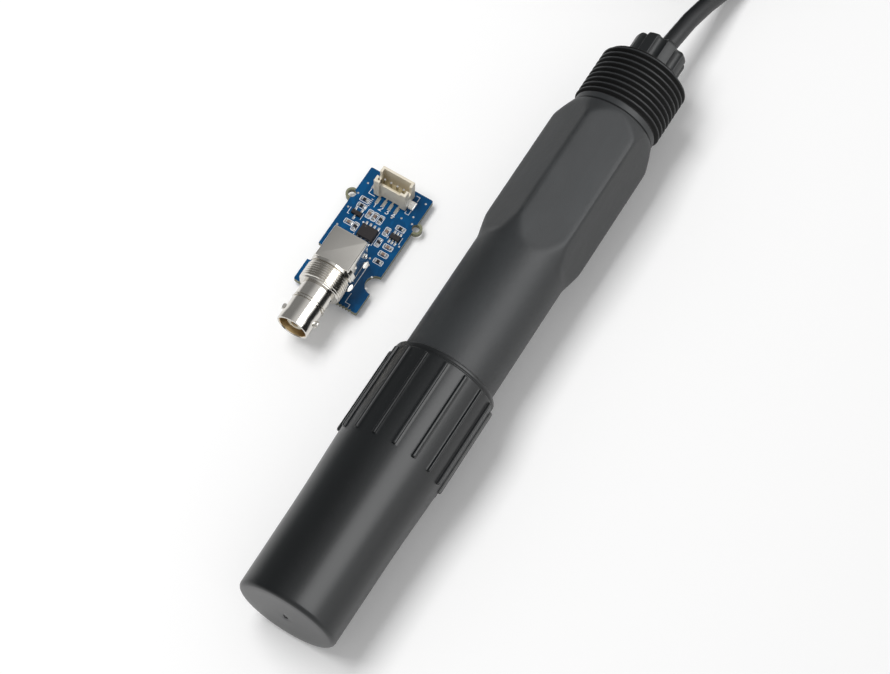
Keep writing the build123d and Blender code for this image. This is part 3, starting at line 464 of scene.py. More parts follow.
def outline(corners):
    """Points along an outline of (x, radius, longest step on the way to this corner); a corner without a step
    is reached in one."""
    places = [np.array([corners[0][:2]])]
    for (x0, r0, *_), (x1, r1, *step) in zip(corners, corners[1:]):
        count = max(1, int(np.ceil(np.hypot(x1 - x0, r1 - r0) / step[0]))) if step else 1
        share = np.arange(1, count + 1)[:, None] / count
        places.append(np.array([x0, r0]) + share * np.array([x1 - x0, r1 - r0]))
    return np.concatenate(places)


def softened(x, corners, reach, count):
    """Radius along straight stretches between corners, averaged over shifts up to this reach to both
    sides."""
    places = np.array(corners)
    shifts = np.linspace(-reach, reach, count)
    return np.mean([np.interp(x + shift * MM, places[:, 0], places[:, 1]) for shift in shifts], axis=0)


def around(x, radius, theta, y=PROBE_Y, z=PROBE_Z):
    """Points round a line along X: angle 0 is up and a quarter turn is towards +Y."""
    x, radius, theta = np.broadcast_arrays(x, radius, theta)
    return np.stack([x, y + radius * np.sin(theta), z + radius * np.cos(theta)], axis=-1)


def thread(x, theta, start, length, pitch=PITCH, depth=THREAD_DEPTH):
    """Height of a thread: trapezoid ridges one pitch apart whose place shifts back by one pitch for each
    turn, and which fade out over half a pitch at both ends."""
    travel = (x - start - length / 2) / pitch + theta / (2 * pi)
    beside = np.abs(travel - np.round(travel)) * pitch
    crest = pitch / 14
    foot = crest + depth * tan(radians(30))
    ends = np.clip((length / 2 - np.abs(x - start - length / 2)) / (pitch / 2), 0, 1)
    return depth * np.clip((foot - beside) / (foot - crest), 0, 1) * ends


def round_columns(count):
    return np.linspace(0, 2 * pi, count, endpoint=False)[None, :]


def revolved(corners, theta, y=PROBE_Y, z=PROBE_Z, lift=None):
    """Closed outline turned about a line along X; lift(x, radius, angle) is added to the radius."""
    places = outline(corners)[:-1]
    x, radius = places[:, :1], places[:, 1:]
    if lift is not None:
        radius = radius + lift(x, radius, theta)
    return around(x, radius, theta, y, z), quads(len(x), theta.size, wrap_rows=True)


def peg(base, way, profile, count=20):
    """Small solid turned about an axis from its base: circles of (distance along, radius), closed by flat
    ends."""
    way = np.array(way, float)
    side = np.roll(way, 1)
    other = np.cross(way, side)
    theta = round_columns(count)[..., None]
    along, radius = np.array(profile).T[..., None, None]
    points = np.array(base) + along * way + radius * (np.cos(theta) * side + np.sin(theta) * other)
    last = count * (len(profile) - 1)
    return points, quads(len(profile), count) + [list(range(count)), list(range(last, last + count))]


def soft_least(radii, power=80.0):
    """Smooth least of several radii: the minus power-th root of the sum of their minus power-th powers."""
    scale = HEX_CORNER_R
    return scale * sum((radius / scale) ** -power for radius in radii) ** (-1 / power)


def electrode_body():
    """Round blank with threads and a soft-edged hexagon, and its hollows, as one closed tube of grid rows.
    Each flat k lies at distance flat(x) and turns as flat / cos(angle from k); flat(x) is constant and rises
    along a quarter circle of HEX_RUNOUT radius in front of the flats."""
    fine, finest, rows = PITCH / 12, PITCH / 24, 2.0 * MM
    front = GUARD_X + SLOT_DEPTH
    half = 0.5 * MM
    outside = outline([
        (front, NOSE_R), (THREAD_X, NOSE_R, rows), (THREAD_X, ROOT_R, rows), (RELIEF_X, ROOT_R, fine),
        (SHANK_X, ROOT_R, half), (SHANK_X, SHANK_R - 0.5 * MM, half),
        (SHANK_X + 0.15 * MM, SHANK_R - 0.15 * MM, rows),
        (SHANK_X + 0.5 * MM, SHANK_R, rows), (FLARE_X - 1.0 * MM, SHANK_R, 2 * rows),
        (FLARE_X, SHANK_R, half),
        (HEX_X, HEX_CORNER_R, half), (HEX_END_X, HEX_CORNER_R, 2 * half), (NECK_X, NECK_R + NECK_STEP, half),
        (NECK_X + 0.12 * MM, NECK_R - 0.3 * MM, half), (NECK_X + 0.45 * MM, NECK_R - 0.3 * MM, half),
        (NECK_X + 0.75 * MM, NECK_R, half), (REAR_THREAD_X, NECK_R, half), (REAR_THREAD_X, ROOT_R, half),
        (BODY_END_X - 0.3 * MM, ROOT_R, finest), (BODY_END_X, ROOT_R - 0.3 * MM, half)])
    inside = outline([
        (BODY_END_X, ROOT_R - 0.3 * MM), (BODY_END_X, GLAND_R, rows),
        (BODY_END_X - GLAND_DEPTH, GLAND_R, 4 * MM),
        (BODY_END_X - GLAND_DEPTH, CABLE_BORE, rows), (CHAMBER_END_X, CABLE_BORE, rows),
        (CHAMBER_END_X, CHAMBER_R, 4 * MM), (GUARD_X + POCKET_DEPTH + COLLAR, CHAMBER_R, 20 * MM),
        (GUARD_X + POCKET_DEPTH + COLLAR, COLLAR_R, rows), (GUARD_X + POCKET_DEPTH, COLLAR_R, rows),
        (GUARD_X + POCKET_DEPTH, POCKET_R, rows), (front, POCKET_R, rows)])[1:]
    theta = round_columns(150)
    x, blank = outside[:, :1], outside[:, 1:]
    shoulder = (x > FLARE_X - 2 * MM) & (x < NECK_X - 1 * MM)
    turned = [(FLARE_X, SHANK_R), (HEX_X, HEX_CORNER_R), (HEX_END_X, HEX_CORNER_R),
              (NECK_X, NECK_R + NECK_STEP)]
    blank = np.where(shoulder, softened(x, turned, 1, 9), blank)
    flats_from = FLARE_X + (2 * HEX_RUNOUT * (SHANK_R - HEX_FLAT)) ** 0.5
    before = np.clip(flats_from - x, 0, HEX_RUNOUT)
    flat = HEX_FLAT + HEX_RUNOUT - (HEX_RUNOUT ** 2 - before ** 2) ** 0.5
    sides = [flat / np.maximum(np.cos(theta + HEX_TURN + k * pi / 3), 0.2) for k in range(6)]
    hexed = (x > FLARE_X - 2 * MM) & (x <= NECK_X + 0.05 * MM)
    radius = np.where(hexed, soft_least([blank + 0 * theta] + sides), blank + 0 * theta)
    for start, length in ((THREAD_X, FRONT_THREAD), (REAR_THREAD_X, BODY_END_X - REAR_THREAD_X)):
        there = (x > start) & (x < start + length) & (blank <= ROOT_R)
        radius = radius + np.where(there, thread(x, theta, start, length), 0)
    hollow = np.broadcast_to(inside[:, 1:], (len(inside), theta.size))
    radius = np.concatenate([radius, hollow])
    x = np.concatenate([x, inside[:, :1]])
    return around(x, radius, theta), quads(len(x), theta.size, wrap_rows=True)


def guard_finger(start):
    """One of the four fingers of the guard: a ring section whose ends stand parallel to the slots beside
    it."""
    x, radius = outline([
        (GUARD_X, POCKET_R), (GUARD_X, NOSE_R - 0.6 * MM, MM), (GUARD_X + 0.18 * MM, NOSE_R - 0.18 * MM, MM),
        (GUARD_X + 0.6 * MM, NOSE_R, MM), (GUARD_X + SLOT_DEPTH, NOSE_R, MM),
        (GUARD_X + SLOT_DEPTH, POCKET_R, MM),
        (GUARD_X, POCKET_R, MM)])[:-1].T
    slot = np.arcsin(SLOT_WIDTH / 2 / radius)
    share = np.linspace(0, 1, 18)[:, None]
    points = around(x, radius, start + slot + (pi / 2 - 2 * slot) * share)
    count = len(x)
    ends = [list(range(count)), [17 * count + corner for corner in range(count)]]
    return points, quads(18, count) + ends


def soaking_cap():
    """Drafted sleeve with grip ribs: radius(x, angle) is the sleeve's own plus the rib height where the
    distance from the nearest rib is small; a gate mark lies in the end, and a groove behind the mouth's
    bead."""
    across = np.array([0.0, 0.15, 0.30, 0.38, 0.43, 0.47, 0.62]) * MM
    height = np.array([1.0, 0.995, 0.95, 0.84, 0.50, 0.10, 0.0])
    rib_angle = 2 * pi / RIB_COUNT
    near = across / CAP_MOUTH_R
    between = np.linspace(near[-1], rib_angle - near[-1], 9)[1:-1]
    steps = np.concatenate([-near[:0:-1], near, between])
    theta = (-RIB_TURN + rib_angle * np.arange(RIB_COUNT)[:, None] + steps[None, :]).ravel()[None, :]
    fine, rows = 0.11 * MM, 2.0 * MM
    outside = outline([
        (CAP_X + 0.10 * MM, 0), (CAP_X + 0.12 * MM, 0.30 * MM, rows), (CAP_X + 0.4 * MM, 0.38 * MM, rows),
        (CAP_X + 0.4 * MM, 0.70 * MM, rows), (CAP_X + 0.04 * MM, 0.85 * MM, rows), (CAP_X, 1.1 * MM, rows),
        (CAP_X, CAP_END_R - 1.3 * MM, rows), (CAP_X + 0.10 * MM, CAP_END_R - 0.80 * MM, rows),
        (CAP_X + 0.38 * MM, CAP_END_R - 0.38 * MM, rows), (CAP_X + 0.80 * MM, CAP_END_R - 0.10 * MM, rows),
        (CAP_X + 1.3 * MM, CAP_END_R, rows), (CAP_X + CAP_WAIST_AT, CAP_WAIST_R, rows),
        (CAP_X + RIB_START - 0.1 * MM, CAP_MOUTH_R, rows), (CAP_X + RIB_START + 0.8 * MM, CAP_MOUTH_R, fine),
        (CAP_X + RIB_END - 0.8 * MM, CAP_MOUTH_R, rows), (MOUTH_X - 0.55 * MM, CAP_MOUTH_R, fine),
        (MOUTH_X - 0.2 * MM, CAP_MOUTH_R - 0.10 * MM, fine), (MOUTH_X, CAP_MOUTH_R - 0.4 * MM, fine)])
    inside = outline([
        (MOUTH_X, CAP_MOUTH_R - 0.4 * MM), (MOUTH_X, GASKET_SEAT_R, MM),
        (MOUTH_X - GASKET, GASKET_SEAT_R, MM),
        (MOUTH_X - GASKET, CAP_MOUTH_BORE_R, MM), (SHANK_X - 0.3 * MM, CAP_MOUTH_BORE_R, MM),
        (SHANK_X - 0.3 * MM, CAP_THREAD_R, MM), (THREAD_X - 0.3 * MM, CAP_THREAD_R, rows),
        (THREAD_X - 2 * PITCH, CAP_BORE_R, rows), (CAP_X + CAP_FLOOR + 1.2 * MM, CAP_BORE_R, 8 * MM),
        (CAP_X + CAP_FLOOR + 0.35 * MM, CAP_BORE_R - 0.35 * MM, MM),
        (CAP_X + CAP_FLOOR, CAP_BORE_R - 1.2 * MM, MM),
        (CAP_X + CAP_FLOOR, 0, rows)])[1:]
    x, sleeve = outside[:, :1], outside[:, 1:]
    side = (x > CAP_X + 14 * MM) & (x < CAP_X + RIB_END)
    taper = [(CAP_X, CAP_END_R), (CAP_X + CAP_WAIST_AT, CAP_WAIST_R), (CAP_X + RIB_START, CAP_MOUTH_R)]
    sleeve = np.where(side, softened(x, taper, 7, 15), sleeve)
    groove = np.clip(1 - np.abs(x - MOUTH_X + 1.35 * MM) / (0.4 * MM), 0, 1)
    sleeve = sleeve - 0.28 * MM * groove
    turn = (theta + RIB_TURN + rib_angle / 2) % rib_angle - rib_angle / 2
    lift = np.interp(np.abs(turn) * CAP_MOUTH_R, across, height)
    into = np.minimum(x - CAP_X - RIB_START, CAP_X + RIB_END - x)
    along = np.interp(into, np.array([0, 0.05, 0.2, 0.45, 0.8]) * MM, [0, 0.6, 0.88, 0.98, 1.0])
    radius = sleeve + (RIB_R - sleeve) * lift * along
    gate = 1 + np.where(sleeve < MM, 0.28 * np.sin(2 * theta + 0.8) + 0.15 * np.sin(3 * theta), 0)
    hollow = np.broadcast_to(inside[:, 1:], (len(inside), theta.size))
    radius = np.concatenate([radius * gate, hollow])
    x = np.concatenate([x, inside[:, :1]])
    return around(x, radius, theta), quads(len(x), theta.size)


def fluted_nut():
    """Gland nut on its spigot: the head's radius is cut back by round flutes, centre distance minus the half
    chord of a circle, and its far rim is rounded."""
    centre = NUT_R + FLUTE_R - FLUTE_DEPTH
    reach = (FLUTE_R ** 2 - (centre - NUT_R) ** 2) ** 0.5 * 0.98
    across = np.array([0.0, 0.3, 0.6, 0.82, 0.95, 1.0, 1.08]) * reach
    gap = 2 * pi * NUT_R / FLUTES
    steps = np.concatenate([-across[:0:-1], across, np.linspace(across[-1], gap - across[-1], 7)[1:-1]])
    theta = (2 * pi / FLUTES * np.arange(FLUTES)[:, None] + steps[None, :] / NUT_R).ravel()[None, :]
    beside = np.abs((theta + pi / FLUTES) % (2 * pi / FLUTES) - pi / FLUTES) * NUT_R
    cut = np.minimum(centre - (FLUTE_R ** 2 - np.minimum(beside, reach) ** 2) ** 0.5 - NUT_R, 0)
    cut = np.where(beside > reach, 0, cut)
    rim = 1.5 * MM
    turn = np.linspace(0, pi / 2, 7)
    curve = [(NUT_END_X - rim + rim * sin(a), NUT_R - rim + rim * cos(a)) for a in turn]
    corners = [(SPIGOT_X, NUT_BORE_R), (SPIGOT_X, SPIGOT_R), (BODY_END_X, SPIGOT_R),
               (BODY_END_X, NUT_R - 0.2 * MM), (BODY_END_X + 0.2 * MM, NUT_R)] + curve
    corners += [(NUT_END_X, NUT_BORE_R + 0.5 * MM), (NUT_END_X - 0.5 * MM, NUT_BORE_R),
                (SPIGOT_X, NUT_BORE_R)]
    return revolved(corners, theta, lift=lambda x, radius, turned: np.where(
        (x > BODY_END_X - 0.01 * MM) & (radius > SPIGOT_R + 0.05 * MM), cut, 0))


def wet_sponge():
    """Foam disc, crowned on both faces and slightly lumpy round its edge: the radius gets three sine waves of
    the angle, and the outline's ends lie on the axis."""
    (front, back), edge = (SPONGE_BOX[0][0], SPONGE_BOX[1][0]), (SPONGE_BOX[1][1] - SPONGE_BOX[0][1]) / 2
    rise = np.linspace(0, pi, 33)[:, None]
    bulge = 1 - (1 - np.sin(rise)) ** 3.2
    theta = round_columns(96)
    x = (front + back) / 2 - (back - front) / 2 * np.sign(np.cos(rise)) * np.abs(np.cos(rise)) ** 0.45
    lumps = 0.010 * np.sin(5 * theta + 1.0) + 0.008 * np.sin(9 * theta + 2.0) + 0.006 * np.sin(14 * theta)
    radius = edge * bulge * (0.974 + lumps * np.sin(rise))
    return around(x, radius, theta), quads(33, 96)


def jack_pieces():
    """Turned barrel and threaded neck, a collar flattened level with the block, the block itself as rounded
    boxes drawn in towards its top, and the two lugs."""
    mouth, neck, block = JACK_MOUTH_X, JACK_MOUTH_X + BARREL, JACK_MOUTH_X + BARREL + NECK_LENGTH
    start, length = neck + 0.15 * MM, NECK_LENGTH - 1.15 * MM
    wide, fine = 9 * MM, JACK_PITCH / 12
    flange, disc = ([(block + along * MM, radius * MM) for along, radius in part] for part in (
        [(-0.85, 5.7), (-0.8, 6.3), (-0.1, 6.35), (0, 6.25), (0, 5.0), (0.6, 5.0), (0.6, 3.0)],
        [(0, 3.0), (0, 6.35), (0.1, 6.45), (1.5, 6.45), (1.6, 6.35), (1.6, 3.0), (0, 3.0)]))
    barrel = [(0.0, 4.32), (0.0, 4.52), (0.07, 4.70), (0.26, 4.80), (2.8, 4.80), (3.2, 4.70), (7.3, 4.70),
              (7.38, 4.45),
              (7.62, 4.45), (7.70, 4.88), (8.15, 4.88), (8.22, 4.45), (8.46, 4.45), (8.54, 4.72),
              (12.9, 4.72)]
    corners = [(mouth + along * MM, radius * MM) for along, radius in barrel]
    corners += [(neck, JACK_ROOT_R), (start + length, JACK_ROOT_R, fine), *flange,
                (mouth + 9.6 * MM, 3.0 * MM, wide), (mouth + 9.6 * MM, JACK_BORE_R),
                (mouth + 0.3 * MM, JACK_BORE_R, wide), (mouth, 4.32 * MM)]
    theta = round_columns(96)
    shapes = [revolved(corners, theta, JACK_Y, JACK_Z, lambda x, radius, turned: np.where(
        (x > neck) & (x < start + length) & (np.abs(radius - JACK_ROOT_R) < 0.01 * MM),
        thread(x, turned, start, length, JACK_PITCH, JACK_THREAD_DEPTH), 0))]
    collar, faces = revolved(disc, theta, JACK_Y, JACK_Z)
    collar[..., 2] = np.minimum(collar[..., 2], BOARD_TOP + BLOCK_HEIGHT - 0.15 * MM)
    shapes.append((collar, faces))
    levels = [(0.0, 0.0), (BLOCK_HEIGHT - 0.3 * MM, 0.0), (BLOCK_HEIGHT - 0.14 * MM, 0.04 * MM),
              (BLOCK_HEIGHT - 0.04 * MM, 0.13 * MM), (BLOCK_HEIGHT, 0.3 * MM)]
    rings = [rounded_box(BLOCK - 2 * inset, BLOCK - 2 * inset, 0.4 * MM) for level, inset in levels]
    middle = np.array([block + BLOCK / 2, JACK_Y])
    points = np.stack([np.column_stack([ring + middle, np.full(20, BOARD_TOP + level)])
                       for ring, (level, inset) in zip(rings, levels)])
    shapes.append((points, quads(len(levels), 20) + [list(range(20)), list(range(80, 100))]))
    lug = [(4.5 * MM, 0.95 * MM), (LUG_TIP - 0.16 * MM, 0.95 * MM), (LUG_TIP - 0.04 * MM, 0.88 * MM),
           (LUG_TIP, 0.72 * MM)]
    shapes += [peg((mouth + LUG_AT, JACK_Y, JACK_Z), (0, side, 0), lug) for side in (-1, 1)]
    return shapes


def header_box():
    """Open housing: at each place round its outline the wall has an outer and an inner point and its own top
    height; the front wall stands back between two posts and is lower, and both ends have a slot."""
    foot, top = HEADER_BOX[0][2], HEADER_BOX[1][2]
    length, width = (HEADER_BOX[1][0] - HEADER_BOX[0][0]) / 2, (HEADER_BOX[1][1] - HEADER_BOX[0][1]) / 2
    wall, slot, slot_foot, front_top = 0.75 * MM, 0.7 * MM, top - 3.4 * MM, top - 1.9 * MM
    inner, aside, post, set_back = length - wall, width - wall, 3.3 * MM, 0.55 * MM
    end = [(slot, top), (slot, slot_foot), (-slot, slot_foot), (-slot, top)]
    places = [(length, -width, inner, -aside, top), (length, width, inner, aside, top)]
    places += [(x, width, x, aside, level) for x, level in end]
    places += [(-length, width, -inner, aside, top), (-length, post, -inner, post, top)]
    places += [(set_back - length, side, set_back - inner, side, level) for side, level in
               ((post, top), (post, front_top), (-post, front_top), (-post, top))]
    places += [(-length, -post, -inner, -post, top), (-length, -width, -inner, -aside, top)]
    places += [(-x, -width, -x, -aside, level) for x, level in end]
    outer_x, outer_y, inner_x, inner_y, level = np.array(places).T
    middle = np.array([(HEADER_BOX[0][0] + HEADER_BOX[1][0]) / 2, (HEADER_BOX[0][1] + HEADER_BOX[1][1]) / 2,
                       0])
    floor = np.full(len(places), foot + 1.8 * MM)
    columns = [(outer_x, outer_y, np.full(len(places), foot)), (outer_x, outer_y, level),
               (inner_x, inner_y, level),
               (inner_x, inner_y, floor)]
    points = np.stack([np.stack(column, axis=-1) for column in columns], axis=1) + middle
    ring = range(0, 4 * len(places), 4)
    faces = quads(len(places), 4, wrap_rows=True, wrap_columns=False) + [list(ring),
            [corner + 3 for corner in ring]]
    return points, faces


def soften_edges(thing, width):
    """Round all sharp edges of a piece by a small bevel."""
    bevel = thing.modifiers.new("soft_edges", "BEVEL")
    bevel.width = width
    bevel.segments = 2
    bevel.limit_method = "ANGLE"
    bevel.angle_limit = radians(40)
    return thing


body_piece = piece("electrode_body", [electrode_body()] + [guard_finger(pi / 2 * k) for k in range(4)],
                   finishes["body_plastic"])
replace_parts(body_piece, "probe_body")
cap_piece = piece("ribbed_cap", [soaking_cap()], finishes["cap_plastic"], body="cap",
                  sharp=40.0)
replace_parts(cap_piece, "soaking_cap")
nut_piece = piece("fluted_nut", [fluted_nut()], finishes["gland_plastic"])
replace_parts(nut_piece, "gland_nut")
sponge_piece = piece("foam_disc", [wet_sponge()], finishes["sponge"], body="cap_drawn", sharp=60.0)
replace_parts(sponge_piece, "soaking_sponge")


def ribbon(path, width, low, high, closed=False):
    """Flat strip along a path of (x, y): each corner is moved sideways by half the width along the mean of
    its two side directions, lengthened so that both edges stay parallel."""
    path = np.asarray(path, float)
    if closed:
        steps = np.roll(path, -1, axis=0) - path
        before, after = np.roll(steps, 1, axis=0), steps
    else:
        steps = np.diff(path, axis=0)
        before, after = np.vstack([steps[:1], steps]), np.vstack([steps, steps[-1:]])
    before, after = (way / np.linalg.norm(way, axis=1, keepdims=True) for way in (before, after))
    square, other = (np.stack([-way[:, 1], way[:, 0]], axis=1) for way in (before, after))
    mitre = square + other
    mitre = mitre / (mitre * square).sum(axis=1, keepdims=True)
    left, right = path + mitre * width / 2, path - mitre * width / 2
    section = [np.column_stack([edge, np.full(len(path), level)]) for edge, level in
               ((left, high), (right, high), (right, low), (left, low))]
    points = np.stack(section, axis=1)
    last = 4 * (len(path) - 1)
    ends = [] if closed else [[0, 1, 2, 3], [last, last + 1, last + 2, last + 3]]
    return points, quads(len(path), 4, wrap_rows=closed) + ends


def on_board(points, turn=0.0, at=(0.0, 0.0)):
    """Millimetres from a part's middle, turned with the part, to metres in the frame."""
    points = np.asarray(points, float)
    turned = points @ np.array([[cos(turn), sin(turn)], [-sin(turn), cos(turn)]]) + np.array(at)
    return turned * MM + np.array([BOARD_X, BOARD_Y])


def rounded_box(length, width, corner):
    """Closed path round a box with round corners, five points to a corner."""
    angles = np.arange(4)[:, None] * pi / 2 + np.linspace(0, pi / 2, 5)[None, :]
    signs = np.array([(1, 1), (-1, 1), (-1, -1), (1, -1)])
    middles = signs * np.array([length / 2 - corner, width / 2 - corner])
    arcs = middles[:, None, :] + corner * np.stack([np.cos(angles), np.sin(angles)], axis=-1)
    return arcs.reshape(-1, 2)


def turned_up(at, radii, heights):
    """Small solid turned about an upright line: circles of these radii at these heights."""
    return peg((*on_board([at])[0], 0.0), (0, 0, 1), list(zip(heights, radii)))



PRINT_LINE = 0.16 * MM
PRINT_TOP = BOARD_TOP + 0.03 * MM
PAD_TOP = BOARD_TOP + 0.04 * MM
STROKES = {
    1: [[(0.25, 1.15), (0.6, 1.5), (0.6, 0.0)]],
    2: [[(0.0, 1.2), (0.2, 1.5), (0.75, 1.5), (0.95, 1.2), (0.95, 0.95), (0.0, 0.0), (1.0, 0.0)]],
    3: [[(0.0, 1.5), (0.95, 1.5), (0.45, 0.9), (0.75, 0.85), (0.97, 0.45), (0.75, 0.05), (0.25, 0.0),
         (0.0, 0.25)]],
    4: [[(0.75, 0.0), (0.75, 1.5), (0.0, 0.45), (1.05, 0.45)]],
}


def printed_lines():
    """White print: a rounded box round each small part, bars, the jack's outline, brackets and pin
    numbers."""
    shapes = []
    for x, y, turn in CAPACITORS + RESISTORS:
        path = on_board(rounded_box(2.75, 1.45, 0.3), radians(turn), (x, y))
        shapes.append(ribbon(path, PRINT_LINE, BOARD_TOP, PRINT_TOP, closed=True))
    lines = [
        [(4.12, -2.62), (-0.65, -2.62)], [(5.9, -8.85), (3.6, -8.85)], [(3.6, -5.15), (4.4, -5.15)],
        [(-6.0, -5.2), (-14.3, -5.2)], [(-15.5, -5.7), (-18.6, -5.7), (-18.6, -7.2), (-19.7, -7.2)],
        [(13.6, -5.25), (12.7, -5.25), (12.7, -6.4), (14.3, -6.4)], [(12.7, 4.4), (12.7, 6.4), (14.3, 6.4)],
        [(17.4, -6.4), (18.9, -6.4), (18.9, -5.3)], [(17.4, 6.4), (18.9, 6.4), (18.9, 5.3)],
        [(4.5, 7.65), (4.5, 8.2), (6.6, 8.2)], [(4.5, 4.1), (6.6, 4.1)],
        [(-0.7, 2.85), (-0.7, 3.3), (0.3, 3.3)],
    ]
    lines += [[(9.45 + 0.55 * bar, 4.75), (9.45 + 0.55 * bar, 4.2)] for bar in range(5)]
    shapes += [ribbon(on_board(line), PRINT_LINE, BOARD_TOP, PRINT_TOP) for line in lines]
    for number, y in zip((1, 2, 3, 4), HEADER_ROWS[::-1]):
        for stroke in STROKES[number]:
            across, up = np.array(stroke).T
            path = np.stack([9.75 + up * 0.9, y + 0.45 - across * 0.9], axis=-1)
            shapes.append(ribbon(on_board(path), 0.2 * MM, BOARD_TOP, PRINT_TOP))
    shapes.append(turned_up((-5.9, -5.2), [0.3 * MM, 0.3 * MM], [BOARD_TOP, PRINT_TOP]))
    shapes.append(turned_up((4.35, 2.9), [0.28 * MM, 0.28 * MM], [BOARD_TOP, PRINT_TOP]))
    return shapes


def pad(x, y, length, width):
    return ribbon(on_board([(x - length / 2, y), (x + length / 2, y)]), width * MM, BOARD_TOP, PAD_TOP)


def solder_wedge(at, turn, end):
    """Solder against one end of a small part: a hollow slope carried across the part's width."""
    slope = np.array([(0.78, 0.0), (1.18, 0.0), (1.12, 0.06), (0.93, 0.14), (0.84, 0.26), (0.80, 0.42),
                      (0.78, 0.42)])
    points = np.concatenate([
        np.column_stack([on_board(np.column_stack([end * slope[:, 0], np.full(7, side * 0.4)]),
                radians(turn), at),
                         BOARD_TOP + slope[:, 1] * MM]) for side in (-1, 1)])
    return points, quads(2, 7) + [list(range(7)), list(range(7, 14))]


def tinned_places():
    """Solder pads under every foot, slopes of solder at the small parts, rings and vias."""
    shapes = []
    for x, y, turn in CAPACITORS + RESISTORS:
        for end in (-1, 1):
            path = on_board([(end * 0.5, 0), (end * 1.22, 0)], radians(turn), (x, y))
            shapes.append(ribbon(path, 0.95 * MM, BOARD_TOP, PAD_TOP))
            shapes.append(solder_wedge((x, y), turn, end))
    for side in (-1, 1):
        shapes += [pad(AMPLIFIER[0] + side * 2.78, AMPLIFIER[1] + 1.27 * (row - 1.5), 1.15, 0.62)
                   for row in range(4)]
        shapes += [pad(CONVERTER[0] + side * 1.65, CONVERTER[1] + 0.95 * (row - 1), 0.9, 0.6)
                   for row in range(3)]
        shapes.append(pad(HEADER_AT, side * 5.95, 2.6, 1.5))
    shapes += [pad(TRANSISTOR[0] + x, TRANSISTOR[1] + y, 0.9, 0.65) for x,
               y in ((-1.5, 0), (1.5, -0.95), (1.5, 0.95))]
    shapes += [pad(12.05, row, 2.1, 0.95) for row in HEADER_ROWS]
    for at in JACK_PINS + [(-10.25, 0.55)]:
        shapes.append(turned_up(at, [1.5 * MM, 1.5 * MM], [BOARD_TOP, PAD_TOP]))
        shapes.append(turned_up(at, [1.5 * MM, 1.3 * MM, 0.85 * MM, 0.66 * MM, 0.62 * MM],
                                [BOARD_LOW, BOARD_LOW - 0.15 * MM, BOARD_LOW - 0.45 * MM, BOARD_LOW
                                 - 0.9 * MM,
                                 BOARD_LOW - 1.1 * MM]))
    vias = [(-2.6, 8.1), (0.1, 8.7), (12.9, -7.9), (15.2, 8.2), (9.6, -2.9), (-4.0, -4.4), (-8.5, -7.9),
            (-12.2, -8.4),
            (-17.2, 3.4), (3.2, -9.3), (10.9, -8.7), (18.1, -8.7), (6.2, 9.0), (11.2, 8.9), (10.9, -5.3)]
    shapes += [turned_up(at, [0.28 * MM, 0.30 * MM, 0.22 * MM], [BOARD_TOP, PRINT_TOP, PAD_TOP])
               for at in vias]
    return shapes


def chip_marks():
    """A round mark beside pin one on each package."""
    shapes = []
    for (x, y), top, reach in ((AMPLIFIER, 1.45, 1.25), (CONVERTER, 1.1, 0.5), (TRANSISTOR, 1.0, 0.35)):
        level = BOARD_TOP + top * MM
        shapes.append(turned_up((x + reach, y + reach), [0.22 * MM, 0.22 * MM], [level, level + 0.01 * MM]))
    return shapes


jack_piece = piece("bayonet_jack", jack_pieces(), finishes["jack_nickel"], sharp=28.0)
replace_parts(jack_piece, "jack_shell")
header_piece = piece("header_box", [header_box()], finishes["header_ivory"])
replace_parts(soften_edges(header_piece, 0.09 * MM), "header_housing")

ink = Finish("white_print")
speckle = ink.noise(2400.0, 2.0)
ink.surface(Base_Color=ink.blend(speckle, (0.66, 0.68, 0.70), (0.84, 0.85, 0.86)), Roughness=0.55)
mark = Finish("chip_mark")
mark.surface(Base_Color=mark.blend(mark.noise(3000.0), (0.045, 0.045, 0.05), (0.075, 0.075, 0.08)),
             Roughness=0.7)
piece("board_print", printed_lines(), ink.material)
piece("board_solder", tinned_places(), finishes["tinned_metal"])
piece("chip_marks", chip_marks(), mark.material)


def coil_points():
    """Turns of the coil: the radius falls or grows evenly with the angle in each layer, and between two
    layers the cable climbs one diameter over a short arc at the same radius."""
    points = []
    angle = -pi / 2
    for layer in range(COIL_LAYERS):
        inward = layer % 2 == 0
        start, end = (COIL_OUTER, COIL_OUTER - COIL_TURNS * CABLE_D)[::1 if inward else -1]
        count = int(COIL_TURNS * POINTS_PER_TURN)
        for step in range(count + 1):
            share = step / count
            radius = start + (end - start) * share
            turned = angle + 2 * pi * COIL_TURNS * share
            points.append((radius, turned, (layer + 0.5) * CABLE_D))
        angle += 2 * pi * COIL_TURNS
        if layer < COIL_LAYERS - 1:
            points += [(end, angle + COIL_CLIMB * share, (layer + 0.5 + share) * CABLE_D)
                       for share in (0.25, 0.5, 0.75)]
            angle += COIL_CLIMB
    return [(COIL_CENTRE[0] + radius * cos(turned), COIL_CENTRE[1] + radius * sin(turned), z)
            for radius, turned, z in points]


def cable():
    """The whole cable as one smooth NURBS line through its route's control points."""
    route = RUN_ROUTE[:-1] + coil_points() + TAIL_ROUTE[1:]
    line = bpy.data.curves.new("cable", "CURVE")
    line.dimensions = "3D"
    spline = line.splines.new("NURBS")
    spline.points.add(len(route) - 1)
    for point, place in zip(spline.points, route):
        point.co = (*place, 1.0)
    spline.order_u = 3
    spline.use_endpoint_u = True
    line.bevel_depth = CABLE_D / 2
    line.bevel_resolution = 6
    line.resolution_u = 4
    line.use_fill_caps = True
    thing = placed("cable", line)
    line.materials.append(finishes["cable_jacket"])
    return thing


